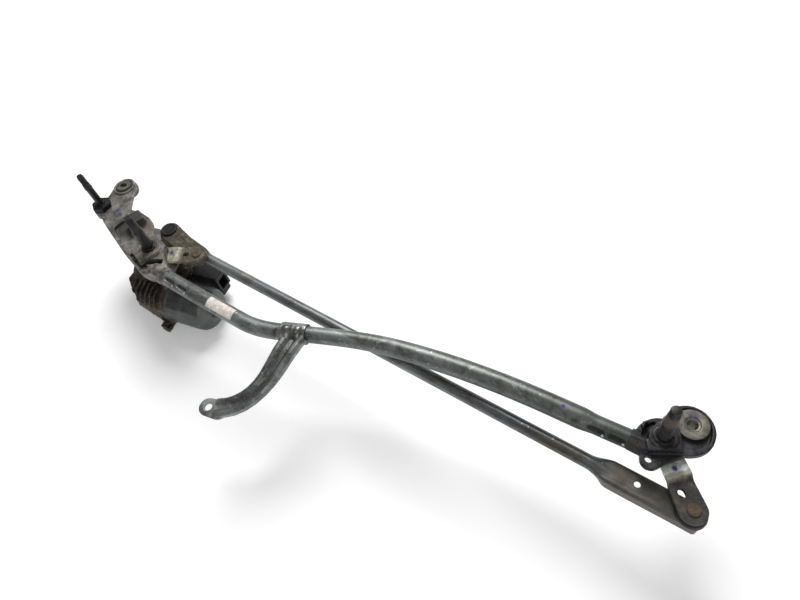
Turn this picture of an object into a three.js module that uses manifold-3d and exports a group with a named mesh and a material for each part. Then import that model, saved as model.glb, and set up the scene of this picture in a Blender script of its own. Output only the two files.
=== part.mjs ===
// Windshield wiper linkage: a bent frame tube between a cast motor bracket and a cast bearing bracket,
// a curved support foot, wiper spindles, two levers, a long link rod, and a worm gear motor with its crank.
// Millimetres, +Z along the spindles towards the wiper arms, +X along the frame from the motor to the far bearing.
// The origin is the centre of the right mounting sleeve, on its bottom face.
import * as THREE from "three";
import { mergeVertices } from "three/addons/utils/BufferGeometryUtils.js";
import Module from "manifold-3d";

const wasm = await Module();
wasm.setup();

// ---------- driving dimensions ----------
const SHIFT = [28, -64, -2]; // from the linkage's drawing frame to the part's frame
const GAP = 0.3; // clearance between touching pieces
const TUBE_R = 11, TUBE_WALL = 1.5, TUBE_Z = 20;
const TUBE_PATH = [
  [-617, -59.8], [-583, -60.3], [-555, -60.2], [-525, -60], [-497, -59.8], [-478, -59.2],
  [-462, -56.6], [-446, -51.8], [-423, -42.5], [-393, -29.8], [-361, -17], [-335, -8.2], [-308, -1],
  [-270, 6.6], [-241, 11.6], [-198, 17.2], [-157, 20.7], [-117, 22.9], [-96, 24.1], [-71, 25.8],
];
const LEFT_P = [-667, -41]; // left driven spindle
const RIGHT_P = [-45.5, 37]; // right driven spindle
const IDLE_P = [-800, -19]; // slim guide spindle
const LEFT_EAR = [-804, 23.5];
const RIGHT_SLEEVE = [-28, 64];
const LEFT_LEVER_L = 57, LEFT_LEVER_A = 30.5;
const RIGHT_LEVER_L = 60, RIGHT_LEVER_A = -41.5;
const LEVER_HW = 12.25; // half width of both levers
const MOTOR_P = [-720, -24]; // output shaft axis
const CRANK_PIN = [-690, 1.5];
const ROD_R = 7, ROD_WALL = 1.6, ROD_Z = -3; // the rod lies under the drive link
const MOTOR_Z = -4, WORM_OFFSET = 42, WORM_Z = -58, MOTOR_TURN = 12; // worm axis beside the output shaft, yaw in degrees
const HOUSING_TOP = 31; // top of the spindle housings
const TIP_Z = 87;
const FINE = 0.5; // share of the nominal side count on round pieces

// ---------- helpers ----------
const sides = (n) => (n <= 8 ? n : Math.max(10, 2 * Math.round((n * FINE) / 2)));
const DEG = Math.PI / 180;
const dir = (a) => [Math.cos(a * DEG), Math.sin(a * DEG)];
const along = (p, a, l) => [p[0] + l * Math.cos(a * DEG), p[1] + l * Math.sin(a * DEG)];

// A closed three.js geometry as a manifold-3d solid with its faces outwards.
function solid(geometry) {
  const g = geometry.clone();
  g.deleteAttribute("normal");
  g.deleteAttribute("uv");
  const m = mergeVertices(g, 1e-4);
  const src = m.index.array;
  const tri = [];
  for (let i = 0; i < src.length; i += 3) {
    const [a, b, c] = [src[i], src[i + 1], src[i + 2]];
    if (a !== b && b !== c && a !== c) tri.push(a, b, c);
  }
  const make = (t) =>
    new wasm.Manifold(
      new wasm.Mesh({ numProp: 3, vertProperties: Float32Array.from(m.attributes.position.array), triVerts: Uint32Array.from(t) }),
    );
  let s = make(tri);
  if (s.volume() < 0) {
    const t = tri.slice();
    for (let i = 0; i < t.length; i += 3) [t[i + 1], t[i + 2]] = [t[i + 2], t[i + 1]];
    s = make(t);
  }
  return s;
}
function geometryOf(s) {
  const m = s.getMesh();
  const n = m.numProp, v = new Float32Array(m.numVert * 3);
  for (let i = 0; i < m.numVert; i++) v.set(m.vertProperties.subarray(i * n, i * n + 3), i * 3);
  const g = new THREE.BufferGeometry();
  g.setAttribute("position", new THREE.BufferAttribute(v, 3));
  g.setIndex(new THREE.BufferAttribute(m.triVerts, 1));
  g.computeVertexNormals();
  return g;
}
const join = (...list) => list.reduce((a, b) => a.add(b));
const cut = (a, ...list) => list.reduce((s, b) => s.subtract(b), a);

// Upright cylinder or cone at (x, y) between two heights.
function cyl(x, y, z0, z1, r, seg = 24, rTop = r) {
  const g = new THREE.CylinderGeometry(rTop, r, z1 - z0, sides(seg));
  g.rotateX(Math.PI / 2);
  g.translate(x, y, (z0 + z1) / 2);
  return solid(g);
}
// Cylinder between two points.
function rod(p, q, r, seg = 20, rEnd = r) {
  const a = new THREE.Vector3(...p), b = new THREE.Vector3(...q);
  const d = b.clone().sub(a);
  const g = new THREE.CylinderGeometry(rEnd, r, d.length(), sides(seg));
  g.applyQuaternion(new THREE.Quaternion().setFromUnitVectors(new THREE.Vector3(0, 1, 0), d.clone().normalize()));
  g.translate(...a.add(b).multiplyScalar(0.5).toArray());
  return solid(g);
}
function box(x0, x1, y0, y1, z0, z1) {
  const g = new THREE.BoxGeometry(x1 - x0, y1 - y0, z1 - z0);
  g.translate((x0 + x1) / 2, (y0 + y1) / 2, (z0 + z1) / 2);
  return solid(g);
}
// Box centred at (x, y), turned about Z.
function turnedBox(x, y, a, lx, ly, z0, z1) {
  const g = new THREE.BoxGeometry(lx, ly, z1 - z0);
  g.rotateZ(a * DEG);
  g.translate(x, y, (z0 + z1) / 2);
  return solid(g);
}
// Revolved profile of [radius, z] points about a vertical axis, on the axis at both ends or closed on itself.
function turned(profile, x = 0, y = 0, seg = 24) {
  const g = new THREE.LatheGeometry(profile.map(([r, z]) => new THREE.Vector2(r, z)), sides(seg));
  g.rotateX(Math.PI / 2);
  g.translate(x, y, 0);
  return solid(g);
}
const ring = (x, y, z0, z1, r0, r1, seg = 24) =>
  turned([[r0, z0], [r1, z0], [r1, z1], [r0, z1], [r0, z0]], x, y, seg);
// Outline with rounded corners, as a Shape.
function outline(points, r = 0) {
  const s = new THREE.Shape();
  const n = points.length;
  for (let i = 0; i < n; i++) {
    const p = new THREE.Vector2(...points[i]);
    const a = new THREE.Vector2(...points[(i + n - 1) % n]).sub(p), b = new THREE.Vector2(...points[(i + 1) % n]).sub(p);
    const k = Math.min(r, a.length() * 0.45, b.length() * 0.45);
    const u = p.clone().add(a.normalize().multiplyScalar(k)), v = p.clone().add(b.normalize().multiplyScalar(k));
    if (i) s.lineTo(u.x, u.y);
    else s.moveTo(u.x, u.y);
    if (k > 0) s.quadraticCurveTo(p.x, p.y, v.x, v.y);
  }
  s.closePath();
  return s;
}
// Plate of an outline between two heights.
function plate(points, z0, z1, r = 0, curveSegments = 3) {
  const g = new THREE.ExtrudeGeometry(outline(points, r), { depth: z1 - z0, bevelEnabled: false, curveSegments });
  g.translate(0, 0, z0);
  return solid(g);
}
// Bar with full-round ends from p to q.
function slotBar(p, q, rp, rq, z0, z1, seg = 10) {
  const a = Math.atan2(q[1] - p[1], q[0] - p[0]);
  const L = Math.hypot(q[0] - p[0], q[1] - p[1]);
  const t = Math.acos((rp - rq) / L);
  const pts = [];
  for (let i = 0; i <= seg; i++) {
    const w = a + t + ((2 * Math.PI - 2 * t) * i) / seg;
    pts.push([p[0] + rp * Math.cos(w), p[1] + rp * Math.sin(w)]);
  }
  for (let i = 0; i <= seg; i++) {
    const w = a - t + (2 * t * i) / seg;
    pts.push([q[0] + rq * Math.cos(w), q[1] + rq * Math.sin(w)]);
  }
  return plate(pts, z0, z1);
}
// A section carried along stations: station(t) gives a centre, a side and an up vector, and map bends the section there.
function sweep(section, holes, steps, station, map = (x, y) => [x, y]) {
  const shape = new THREE.Shape(section.map(([x, y]) => new THREE.Vector2(x, y)));
  for (const h of holes) shape.holes.push(new THREE.Path(h.map(([x, y]) => new THREE.Vector2(x, y))));
  const g = new THREE.ExtrudeGeometry(shape, { depth: 1, steps, bevelEnabled: false });
  const p = g.attributes.position;
  for (let i = 0; i < p.count; i++) {
    const t = p.getZ(i);
    const { c, side, up } = station(t);
    const [x, y] = map(p.getX(i), p.getY(i), t);
    p.setXYZ(i, c[0] + side[0] * x + up[0] * y, c[1] + side[1] * x + up[1] * y, c[2] + side[2] * x + up[2] * y);
  }
  return solid(g);
}
const circle = (r, n, rev = false) => {
  const out = [];
  for (let i = 0; i < n; i++) {
    const a = ((rev ? -i : i) * 2 * Math.PI) / n;
    out.push([r * Math.cos(a), r * Math.sin(a)]);
  }
  return out;
};
const smooth = (a, b, x) => {
  const t = Math.min(1, Math.max(0, (x - a) / (b - a)));
  return t * t * (3 - 2 * t);
};

// ---------- materials and the scene graph ----------
const COLOURS = {
  galvanised: [0x7b7f7e, 0.42, 0.85],
  castAluminium: [0xa6a59f, 0.55, 0.75],
  castDark: [0x2f3033, 0.55, 0.55],
  blackSteel: [0x1e1e20, 0.5, 0.7],
  rustySteel: [0x5c4233, 0.75, 0.5],
  zinc: [0x9b9a86, 0.45, 0.8],
  leverSteel: [0x44443f, 0.5, 0.75],
  dirtySteel: [0x5a5040, 0.8, 0.5],
  motorCasting: [0x5a4a3c, 0.8, 0.4],
  yokeSteel: [0x4f5352, 0.4, 0.85],
  blackPlastic: [0x141416, 0.5, 0.0],
  rubber: [0x101010, 0.85, 0.0],
  sleeveSteel: [0x6f6a5e, 0.45, 0.85],
  label: [0xd9d4cb, 0.6, 0.0],
  bronze: [0x9b7a45, 0.45, 0.8],
  whiteNylon: [0xe4e0d2, 0.5, 0.0],
  copper: [0xb06a3a, 0.35, 0.9],
  ferrite: [0x3b3a3d, 0.7, 0.1],
  board: [0x24563a, 0.6, 0.0],
  carbon: [0x222226, 0.8, 0.1],
};
const part = new THREE.Group();
const assembly = new THREE.Group(); // the linkage's drawing frame
assembly.position.set(...SHIFT);
part.add(assembly);
const motor = new THREE.Group(); // about the output shaft, X along the worm towards the motor's end
motor.position.set(MOTOR_P[0], MOTOR_P[1], MOTOR_Z);
motor.rotation.z = MOTOR_TURN * DEG;
assembly.add(motor);

function add(name, s, colour, group = assembly) {
  const [c, roughness, metalness] = COLOURS[colour];
  const mesh = new THREE.Mesh(geometryOf(s), new THREE.MeshStandardMaterial({ color: c, roughness, metalness }));
  mesh.name = name;
  group.add(mesh);
  return mesh;
}

// ---------- frame tube ----------
const tubeCurve = new THREE.CatmullRomCurve3(TUBE_PATH.map(([x, y]) => new THREE.Vector3(x, y, TUBE_Z)), false, "centripetal");
const tubeAt = (t) => {
  const c = tubeCurve.getPointAt(t), d = tubeCurve.getTangentAt(t);
  return { c: c.toArray(), side: [-d.y, d.x, 0], up: [0, 0, 1], d };
};
// the tube is drawn down a little towards the motor end and where it crosses the link rod
const tubeK = (t) => 0.885 - 0.03 * smooth(0.28, 0.4, t) + 0.12 * smooth(0.45, 0.68, t) - 0.13 * smooth(0.92, 0.95, t);
const TUBE_A0 = Math.atan2(tubeAt(0).d.y, tubeAt(0).d.x) / DEG;
const TUBE_A1 = Math.atan2(tubeAt(1).d.y, tubeAt(1).d.x) / DEG;
let tube = sweep(circle(TUBE_R, 14), [circle(TUBE_R - TUBE_WALL, 10, true)], 30, tubeAt, (x, y, t) => [x * tubeK(t), y * tubeK(t)]);
{
  // crimp dents that lock the tube on both cast spigots
  const dent = (t, roll) => {
    const { c, side } = tubeAt(t);
    const r = 7, off = TUBE_R * tubeK(t) + r - 1.0;
    const g = new THREE.SphereGeometry(r, 10, 7);
    g.scale(1.9, 1, 1);
    g.rotateZ(Math.atan2(tubeAt(t).d.y, tubeAt(t).d.x));
    g.translate(c[0] + side[0] * off * Math.sin(roll), c[1] + side[1] * off * Math.sin(roll), c[2] + off * Math.cos(roll));
    return solid(g);
  };
  tube = cut(tube, dent(0.018, -0.75), dent(0.055, -0.75), dent(0.945, -0.9), dent(0.982, -0.9));
}
add("frame_tube", tube, "galvanised");

// printed label, a thin wrap on the tube
{
  const t0 = 0.142, t1 = 0.205;
  const pts = [];
  for (let i = 0; i <= 6; i++) pts.push([(TUBE_R * 0.885 + 0.5) * Math.sin(-0.7 + i * 0.17), (TUBE_R * 0.885 + 0.5) * Math.cos(-0.7 + i * 0.17)]);
  for (let i = 6; i >= 0; i--) pts.push([(TUBE_R * 0.885 + 0.25) * Math.sin(-0.7 + i * 0.17), (TUBE_R * 0.885 + 0.25) * Math.cos(-0.7 + i * 0.17)]);
  add("identification_label", sweep(pts, [], 4, (t) => tubeAt(t0 + (t1 - t0) * t)), "label");
}

// ---------- motor bracket (left casting) ----------
{
  const BAND0 = 18.6, BAND1 = 27.5;
  const band = plate([
    [-812, -26], [-786, -34.5], [-754, -45], [-722, -55], [-693, -63.8], [-664, -70.5], [-647, -73.5], [-631, -73],
    [-622, -67], [-624, -50], [-640, -44], [-653, -30], [-660, -24], [-684, -22], [-698, -12], [-712, -3], [-738, -1], [-756, -6],
    [-768, 6], [-779, 19], [-788, 36], [-806, 40], [-819, 34], [-819, 14], [-811, -4], [-814, -14],
  ], BAND0, BAND1, 5, 2);
  // pocketed web between the two spindle housings
  const pocket1 = plate([[-748, -40], [-716, -51], [-704, -40], [-716, -16], [-744, -12]], BAND0 + 4, BAND1 + 1, 5, 2);
  const pocket2 = plate([[-690, -60], [-668, -67], [-652, -69], [-648, -63], [-664, -59], [-684, -56]], BAND0 + 5, BAND1 + 1, 3, 2);
  const pocket3 = plate([[-786, 2], [-772, -8], [-766, -6], [-784, 19], [-796, 24]], BAND0 + 5, BAND1 + 1, 2, 2);
  // the limb that carries the ear and the slim spindle is thinner
  let b = cut(band, pocket1, pocket2, pocket3, turnedBox(-800, 0, -15, 72, 140, 22.2, 60));
  const tubeStart = tubeAt(0);
  const tx = Math.cos(TUBE_A0 * DEG), ty = Math.sin(TUBE_A0 * DEG);
  const onTube = (s) => [tubeStart.c[0] + tx * s, tubeStart.c[1] + ty * s, TUBE_Z];
  b = join(
    b,
    cyl(...LEFT_P, BAND0, HOUSING_TOP, 14.5, 24),
    turnedBox(-664, -44, 25, 33, 25, BAND0, HOUSING_TOP - 2), // square housing round the spindle bore
    cyl(...IDLE_P, 12, 23.7, 14, 20),
    cyl(...LEFT_EAR, 10, 24.5, 15.6, 28),
    plate([[-737, -26], [-716, -32], [-709, -10], [-728, -4]], BAND1 - 1, 39, 3, 2), // raised block behind the spindle
    rod(onTube(-26), onTube(-1.2), 11.6, 20, 11.2),
    rod(onTube(-3), onTube(38), (TUBE_R - TUBE_WALL) * 0.885 - 0.75, 16),
    plate([[-697, -60.5], [-680.2, -59.5], [-680.2, -47], [-695, -50]], -29, BAND0 + 1, 3, 2), // front leg
    plate([[-686, -61], [-660, -64.5], [-655, -57], [-661, -53.8], [-686, -53.8]], 1, BAND0 + 1, 2, 2), // its web
    plate([[-788, -28], [-774, -33], [-773.5, -20], [-775, -5], [-784, -3]], -29, BAND0 + 1, 4, 2), // left leg
    plate([[-789, -29], [-750, -48], [-716, -58], [-698, -61.5], [-681, -59.5], [-667, -51], [-664, -38], [-676, -14], [-694, 6], [-722, 15], [-754, 10], [-784, -3]], -29, -25, 5, 2), // motor plate
  );
  b = cut(
    b,
    cyl(...LEFT_P, 10, 40, 8.8, 24),
    cyl(...LEFT_P, 17, 20.6, 9.5, 24),
    cyl(...IDLE_P, 10, 40, 6.9, 20),
    cyl(...LEFT_EAR, 6, 40, 12.4, 28),
    cyl(...MOTOR_P, -30, -24, 17.5, 28),
    turnedBox(-651, -55, 32, 30, 7, 19.5, 40), // slot in front of the spindle housing
  );
  for (const a of [95, 205, 318]) b = b.subtract(cyl(...along(MOTOR_P, a + MOTOR_TURN, 31), -30, -24, 3.1, 14));
  add("motor_bracket", b, "castAluminium");
}

// ---------- right bearing bracket ----------
{
  const F0 = 18.6, F1 = 22, RIM = 25.6;
  const cup = [[-49, 71], [-43, 77.5], [-34, 82], [-23, 81.5], [-13, 75], [-7.5, 66], [-6, 54], [-9, 45], [-15, 38], [-24, 32.5], [-31, 36], [-36, 50], [-46, 58]];
  const inner = [[-45, 69], [-40.5, 75.3], [-33.5, 79.5], [-24, 79], [-15.5, 74], [-11, 65], [-9.5, 55], [-12, 47.5], [-18, 42], [-25, 39.5], [-30, 45], [-36, 54.5], [-43, 60]];
  const body = [[-67.5, 28], [-68, 39], [-64.5, 48], [-57, 55.5], [-50, 58], [-40, 58.5], [-24, 47], [-22, 34], [-30.5, 25], [-36.5, 16], [-40.5, 8.5], [-48, 6], [-54.5, 10], [-57.5, 19]];
  const endT = tubeAt(1);
  const tx = Math.cos(TUBE_A1 * DEG), ty = Math.sin(TUBE_A1 * DEG);
  const onTube = (s) => [endT.c[0] + tx * s, endT.c[1] + ty * s, TUBE_Z];
  let b = join(
    plate(cup, F0, RIM, 4, 2),
    plate(body, F0, 25, 5, 2),
    turnedBox(-46, 38, 30, 30, 27, F0, 33),
    cyl(...RIGHT_P, F0, HOUSING_TOP + 3, 12.5, 24),
    rod(onTube(1.2), onTube(20), 10.8, 20, 12),
    rod(onTube(3), onTube(-36), (TUBE_R - TUBE_WALL) * 0.845 - 0.75, 16),
  );
  b = cut(
    b,
    plate(inner, F1, RIM + 2, 3, 2),
    cyl(...RIGHT_P, 10, 44, 8.8, 24),
    cyl(...RIGHT_SLEEVE, 0, 40, 11, 28),
    cyl(...RIGHT_SLEEVE, F1, 40, 15.6, 32),
    cyl(-48.5, 15, 17, 30, 3.2, 14),
    plate([[-62, 30], [-63, 41], [-58, 50], [-54, 50], [-57, 38], [-56, 27]], 22, 40, 2, 2),
    box(-80, 0, 0, 90, 5, F0), // flat underside above the lever
  );
  add("right_bearing_bracket", b, "castDark");
}

// ---------- support foot ----------
{
  const pts = [[-414.5, -44, 26.5], [-414, -62, 26], [-412.5, -82, 23], [-412.5, -100, 18.5], [-417.5, -117, 12], [-427, -132, 5], [-440, -144.5, 0], [-453, -152, -3.5]];
  const curve = new THREE.CatmullRomCurve3(pts.map((p) => new THREE.Vector3(...p)), false, "centripetal");
  const station = (t) => {
    const c = curve.getPointAt(t), d = curve.getTangentAt(t);
    const s = new THREE.Vector3(d.y, -d.x, 0).normalize();
    const u = new THREE.Vector3().crossVectors(s, d).normalize();
    if (u.z < 0) u.multiplyScalar(-1);
    return { c: c.toArray(), side: s.toArray(), up: u.toArray() };
  };
  // stamped section with two ribs and a valley
  const top = [[-12.4, -5], [-12, 0], [-9, 3], [-5.6, 2.6], [-2.2, -1.4], [2.2, -1.4], [5.6, 2.6], [9, 3], [12, 0], [12.4, -5]];
  const bot = [[10.4, -5], [10, -1], [8.2, 0.8], [6.4, 0.4], [3, -3.6], [-3, -3.6], [-6.4, 0.4], [-8.2, 0.8], [-10, -1], [-10.4, -5]];
  const arm = sweep([...top, ...bot].reverse(), [], 11, station, (x, y, t) => {
    const w = 1.14 - 0.22 * smooth(0.05, 0.6, t), h = 1 - 0.6 * smooth(0.85, 1, t);
    return [x * w, y * h];
  });
  const pad = slotBar([-448, -151.5], [-461.5, -155.4], 11.4, 10.4, -6.4, -3.6, 12);
  // clamp round the tube
  const tc = tubeAt(0.357);
  const ang = Math.atan2(tc.d.y, tc.d.x);
  const arc = [];
  const RT = TUBE_R * Math.max(tubeK(0.33), tubeK(0.385));
  const R0 = RT + GAP, R1 = RT + 2.3, N = 11;
  for (let i = 0; i <= N; i++) arc.push([R1 * Math.cos((-75 + (255 * i) / N) * DEG), R1 * Math.sin((-75 + (255 * i) / N) * DEG)]);
  for (let i = N; i >= 0; i--) arc.push([R0 * Math.cos((-75 + (255 * i) / N) * DEG), R0 * Math.sin((-75 + (255 * i) / N) * DEG)]);
  const clamp = sweep(arc.reverse(), [], 1, (t) => ({
    c: [tc.c[0] + Math.cos(ang) * (t - 0.5) * 30, tc.c[1] + Math.sin(ang) * (t - 0.5) * 30, TUBE_Z],
    side: [Math.sin(ang), -Math.cos(ang), 0], up: [0, 0, 1],
  }));
  const bore = rod([tc.c[0] - 60 * Math.cos(ang), tc.c[1] - 60 * Math.sin(ang), TUBE_Z], [tc.c[0] + 60 * Math.cos(ang), tc.c[1] + 60 * Math.sin(ang), TUBE_Z], RT + GAP + 0.05, 24);
  let foot = join(arm, pad, clamp);
  foot = cut(foot, bore, cyl(-461, -155.3, -12, 4, 4.6, 20));
  foot = foot.decompose().sort((a, b) => b.volume() - a.volume())[0];
  add("support_foot", foot, "galvanised");
}

// ---------- mounting sleeves and grommets ----------
{
  const [x, y] = RIGHT_SLEEVE;
  add("right_mount_grommet", turned([[7, 6], [13, 6], [13, 18.2], [10.6, 18.2], [10.6, 22.4], [13.2, 22.4], [13.2, 25], [7, 25], [7, 6]], x, y, 28), "rubber");
  add("right_mount_sleeve", turned([[4.6, 2], [6.6, 2], [6.6, 25.4], [14.5, 25.4], [14.5, 27], [8, 27], [7, 26], [4.6, 24.5], [4.6, 2]], x, y, 28), "sleeveSteel");
  const [u, v] = LEFT_EAR;
  add("left_mount_grommet", turned([[7.6, 9], [12, 9], [12, 24], [10.8, 24.9], [7.6, 24.9], [7.6, 9]], u, v, 28), "rubber");
  const sleeve = turned([[0, 8], [7.2, 8], [7.2, 25.2], [10, 25.2], [10, 26.4], [0, 26.4], [0, 8]], u, v, 28);
  const slot = slotBar([u - 1.6, v - 0.6], [u + 1.6, v + 0.6], 3.6, 3.6, 6, 34, 8);
  add("left_mount_sleeve", cut(sleeve, slot), "sleeveSteel");
}

// ---------- spindles, bushes, clips ----------
function spindleSet(side, [x, y]) {
  add(side + "_spindle", turned([
    [0, 10.6], [4.9, 10.6], [4.9, 17.7], [6.5, 18.1], [6.5, 35.2], [5.9, 35.2], [5.9, 36.6], [6.5, 36.6], [6.5, 56], [6.9, 56.5], [6.9, 63],
    [5.9, 66], [5.2, 77], [4.3, 77.5], [4.85, 78.3], [4.85, 86.2], [4.3, TIP_Z], [0, TIP_Z],
  ], x, y, 24), "blackSteel");
  add(side + "_spindle_bush", ring(x, y, 18.9, side === "right" ? 33.7 : 30.7, 6.8, 8.5, 24), "bronze");
  add(side + "_spindle_washer", ring(x, y, 34.2, 34.9, 6.75, 9.6, 24), "sleeveSteel");
  let clip = ring(x, y, 35.4, 36.4, 6.2, 8.9, 24);
  clip = clip.subtract(turnedBox(x + 8, y, 0, 10, 4, 34, 38));
  add(side + "_spindle_circlip", clip, "blackSteel");
}
spindleSet("left", LEFT_P);
spindleSet("right", RIGHT_P);
add("idler_spindle", turned([
  [0, 9.4], [6.8, 9.4], [6.8, 11.4], [4.7, 11.6], [4.7, 32.2], [4.2, 32.2], [4.2, 33.6], [4.7, 33.6], [4.7, 58], [5.3, 60], [4.6, 68], [3.9, 68.6], [4.3, 69.4], [4.3, 81], [3.6, 82], [0, 82],
], ...IDLE_P, 20), "blackSteel");
add("idler_spindle_bush", ring(...IDLE_P, 12.2, 23.5, 5.05, 6.6, 20), "bronze");
add("idler_spindle_collar", cut(
  join(cyl(...IDLE_P, 24, 30.4, 13.4, 6), cyl(...IDLE_P, 26, 31.6, 9, 20)), cyl(...IDLE_P, 20, 40, 5.1, 20),
), "blackPlastic");
add("idler_spindle_circlip", cut(ring(...IDLE_P, 32.4, 33.4, 4.45, 7, 20), turnedBox(IDLE_P[0] + 6, IDLE_P[1], 0, 8, 3, 31, 36)), "blackSteel");

// ---------- levers ----------
function lever(name, P, a, L, slotAt, slotSide, bend, low, hub, hubSide) {
  // the hub end stands higher than the pin end, and the plate is bent between them
  const T = 4, joggle = 13.6 - low, at = (x) => hub + ((LEVER_HW - hub) * x) / L, mid = (x) => hubSide * (1 - x / L);
  const local = join(
    slotBar([0, hubSide], [L, 0], hub, LEVER_HW, 13.6, 13.6 + T, 12).intersect(box(-20, bend + 0.2, -20, 20, 0, 30)),
    slotBar([0, hubSide], [L, 0], hub, LEVER_HW, low, low + T, 14).intersect(box(bend + 4.8, 90, -20, 20, 0, 30)),
    sweep([[-1, 0], [1, 0], [1, T], [-1, T]], [], 1, (t) => ({ c: [bend + 5 * t, mid(bend + 5 * t), low + joggle * (1 - t)], side: [0, 1, 0], up: [0, 0, 1] }), (x, y, t) => [x * at(bend + 5 * t), y]),
  );
  let s = cut(local, cyl(0, 0, 5, 25, 5.2, 20), cyl(L, 0, 5, 25, 4.3, 16));
  s = s.subtract(slotBar([slotAt - 1.2, slotSide], [slotAt + 1.2, slotSide], 2.9, 2.9, 5, 25, 6));
  const mesh = add(name, s, "leverSteel");
  mesh.position.set(P[0], P[1], 0);
  mesh.rotation.z = a * DEG;
}
lever("left_lever", LEFT_P, LEFT_LEVER_A, LEFT_LEVER_L, 42, 0, 29, 12, LEVER_HW - 0.2, 0);
lever("right_lever", RIGHT_P, RIGHT_LEVER_A, RIGHT_LEVER_L, 44.6, -2.2, 32.5, 8.4, 10.8, 3);
const PIN_A = along(LEFT_P, LEFT_LEVER_A, LEFT_LEVER_L);
const PIN_B = along(RIGHT_P, RIGHT_LEVER_A, RIGHT_LEVER_L);
add("left_lever_pin", turned([[0, 4.7], [4.6, 4.7], [5, 5.2], [5, 10.4], [6.4, 10.6], [6.4, 11.7], [4, 11.7], [4, 16.3], [6.1, 16.3], [5.6, 17.4], [3.6, 18], [0, 18]], ...PIN_A, 20), "rustySteel");
add("right_lever_pin", turned([[0, -8.6], [4.6, -8.6], [5, -8], [5, 8.1], [4, 8.1], [4, 12.7], [6.1, 12.7], [5.6, 13.8], [3.6, 14.4], [0, 14.4]], ...PIN_B, 20), "rustySteel");

// ---------- long link rod ----------
const ROD_L = Math.hypot(PIN_B[0] - CRANK_PIN[0], PIN_B[1] - CRANK_PIN[1]);
const ROD_A = Math.atan2(PIN_B[1] - CRANK_PIN[1], PIN_B[0] - CRANK_PIN[0]) / DEG;
{
  // rolled from sheet: a tube with its seam underneath, opening into a downward channel at both ends
  const N = 14;
  const outer = [], inner = [];
  for (let i = 0; i <= N; i++) {
    outer.push([i / N, 0]);
    inner.push([i / N, 1]);
  }
  // the section is drawn as a strip of (fraction, side of the sheet) and bent to its real shape at each station
  const strip = [...outer, ...inner.reverse()];
  const tubePoint = (f, k) => {
    const a = (268 - f * 356) * DEG, r = ROD_R - k * ROD_WALL;
    return [r * Math.cos(a), r * Math.sin(a)];
  };
  const channelPoint = (f, k, w, topZ, lowZ, cr) => {
    const h = topZ - lowZ, straight = h - cr, flat = 2 * w - 2 * cr, corner = (Math.PI / 2) * cr;
    const total = 2 * straight + flat + 2 * corner;
    let s = f * total;
    const d = k * ROD_WALL;
    if (s <= straight) return [-w + d, lowZ + s];
    s -= straight;
    if (s <= corner) {
      const a = Math.PI - s / cr;
      return [-w + cr + (cr - d) * Math.cos(a), topZ - cr + (cr - d) * Math.sin(a)];
    }
    s -= corner;
    if (s <= flat) return [-w + cr + s, topZ - d];
    s -= flat;
    if (s <= corner) {
      const a = Math.PI / 2 - s / cr;
      return [w - cr + (cr - d) * Math.cos(a), topZ - cr + (cr - d) * Math.sin(a)];
    }
    s -= corner;
    return [w - d, topZ - cr - s];
  };
  const XS = [-13, 2, 56, 62, 67, 72, 80, 220, 400, ROD_L - 96, ROD_L - 89, ROD_L - 84, ROD_L - 79, ROD_L - 74, ROD_L - 68, ROD_L - 50, ROD_L - 20, ROD_L + 14.5];
  const steps = XS.length - 1;
  const xAt = (t) => {
    const k = Math.min(steps, Math.max(0, Math.round(t * steps)));
    return XS[k];
  };
  let s = sweep(strip, [], steps, (t) => ({ c: [xAt(t), -4.5 * smooth(15, 70, xAt(t)) * (1 - xAt(t) / ROD_L), 0], side: [0, 1, 0], up: [0, 0, 1] }), (f, k, t) => {
    const x = xAt(t);
    const mr = smooth(ROD_L - 93, ROD_L - 70, x), ml = 1 - smooth(58, 77, x);
    const [ax, ay] = tubePoint(f, k);
    const wr = 11.8, lowR = -9 + 1.5 * smooth(ROD_L - 60, ROD_L, x);
    const [bx, by] = mr > 0 ? channelPoint(f, k, wr, 5, lowR, 3) : channelPoint(f, k, 10.4, 5, -7, 3);
    const m = Math.max(mr, ml);
    return [ax + (bx - ax) * m, ay + (by - ay) * m];
  });
  // full-round ends and the bush holes
  const keep = slotBar([0, 0], [ROD_L, 0], 12, 14, -20, 20, 16);
  s = s.intersect(keep);
  s = cut(s, cyl(0, 0, -20, 20, 8.4, 24), cyl(ROD_L, 0, -20, 20, 9.6, 32), cyl(ROD_L - 47, 0.5, -2, 20, 2.9, 16));
  s = s.decompose().sort((a, b) => b.volume() - a.volume())[0];
  const mesh = add("link_rod", s, "galvanised");
  mesh.position.set(CRANK_PIN[0], CRANK_PIN[1], ROD_Z);
  mesh.rotation.z = ROD_A * DEG;
}
add("link_rod_left_bush", turned([[0, -9.4], [8.1, -9.4], [8.1, 2], [7, 2.35], [0, 2.35]], ...CRANK_PIN, 24), "blackPlastic");
add("link_rod_right_bush", turned([[0, -11.6], [8, -11.6], [9.1, -10.4], [9.1, 2.3], [13.6, 2.3], [13.6, 4.2], [11.4, 8], [5.3, 8], [5.3, -9], [0, -9]], ...PIN_B, 28), "blackPlastic");

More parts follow.
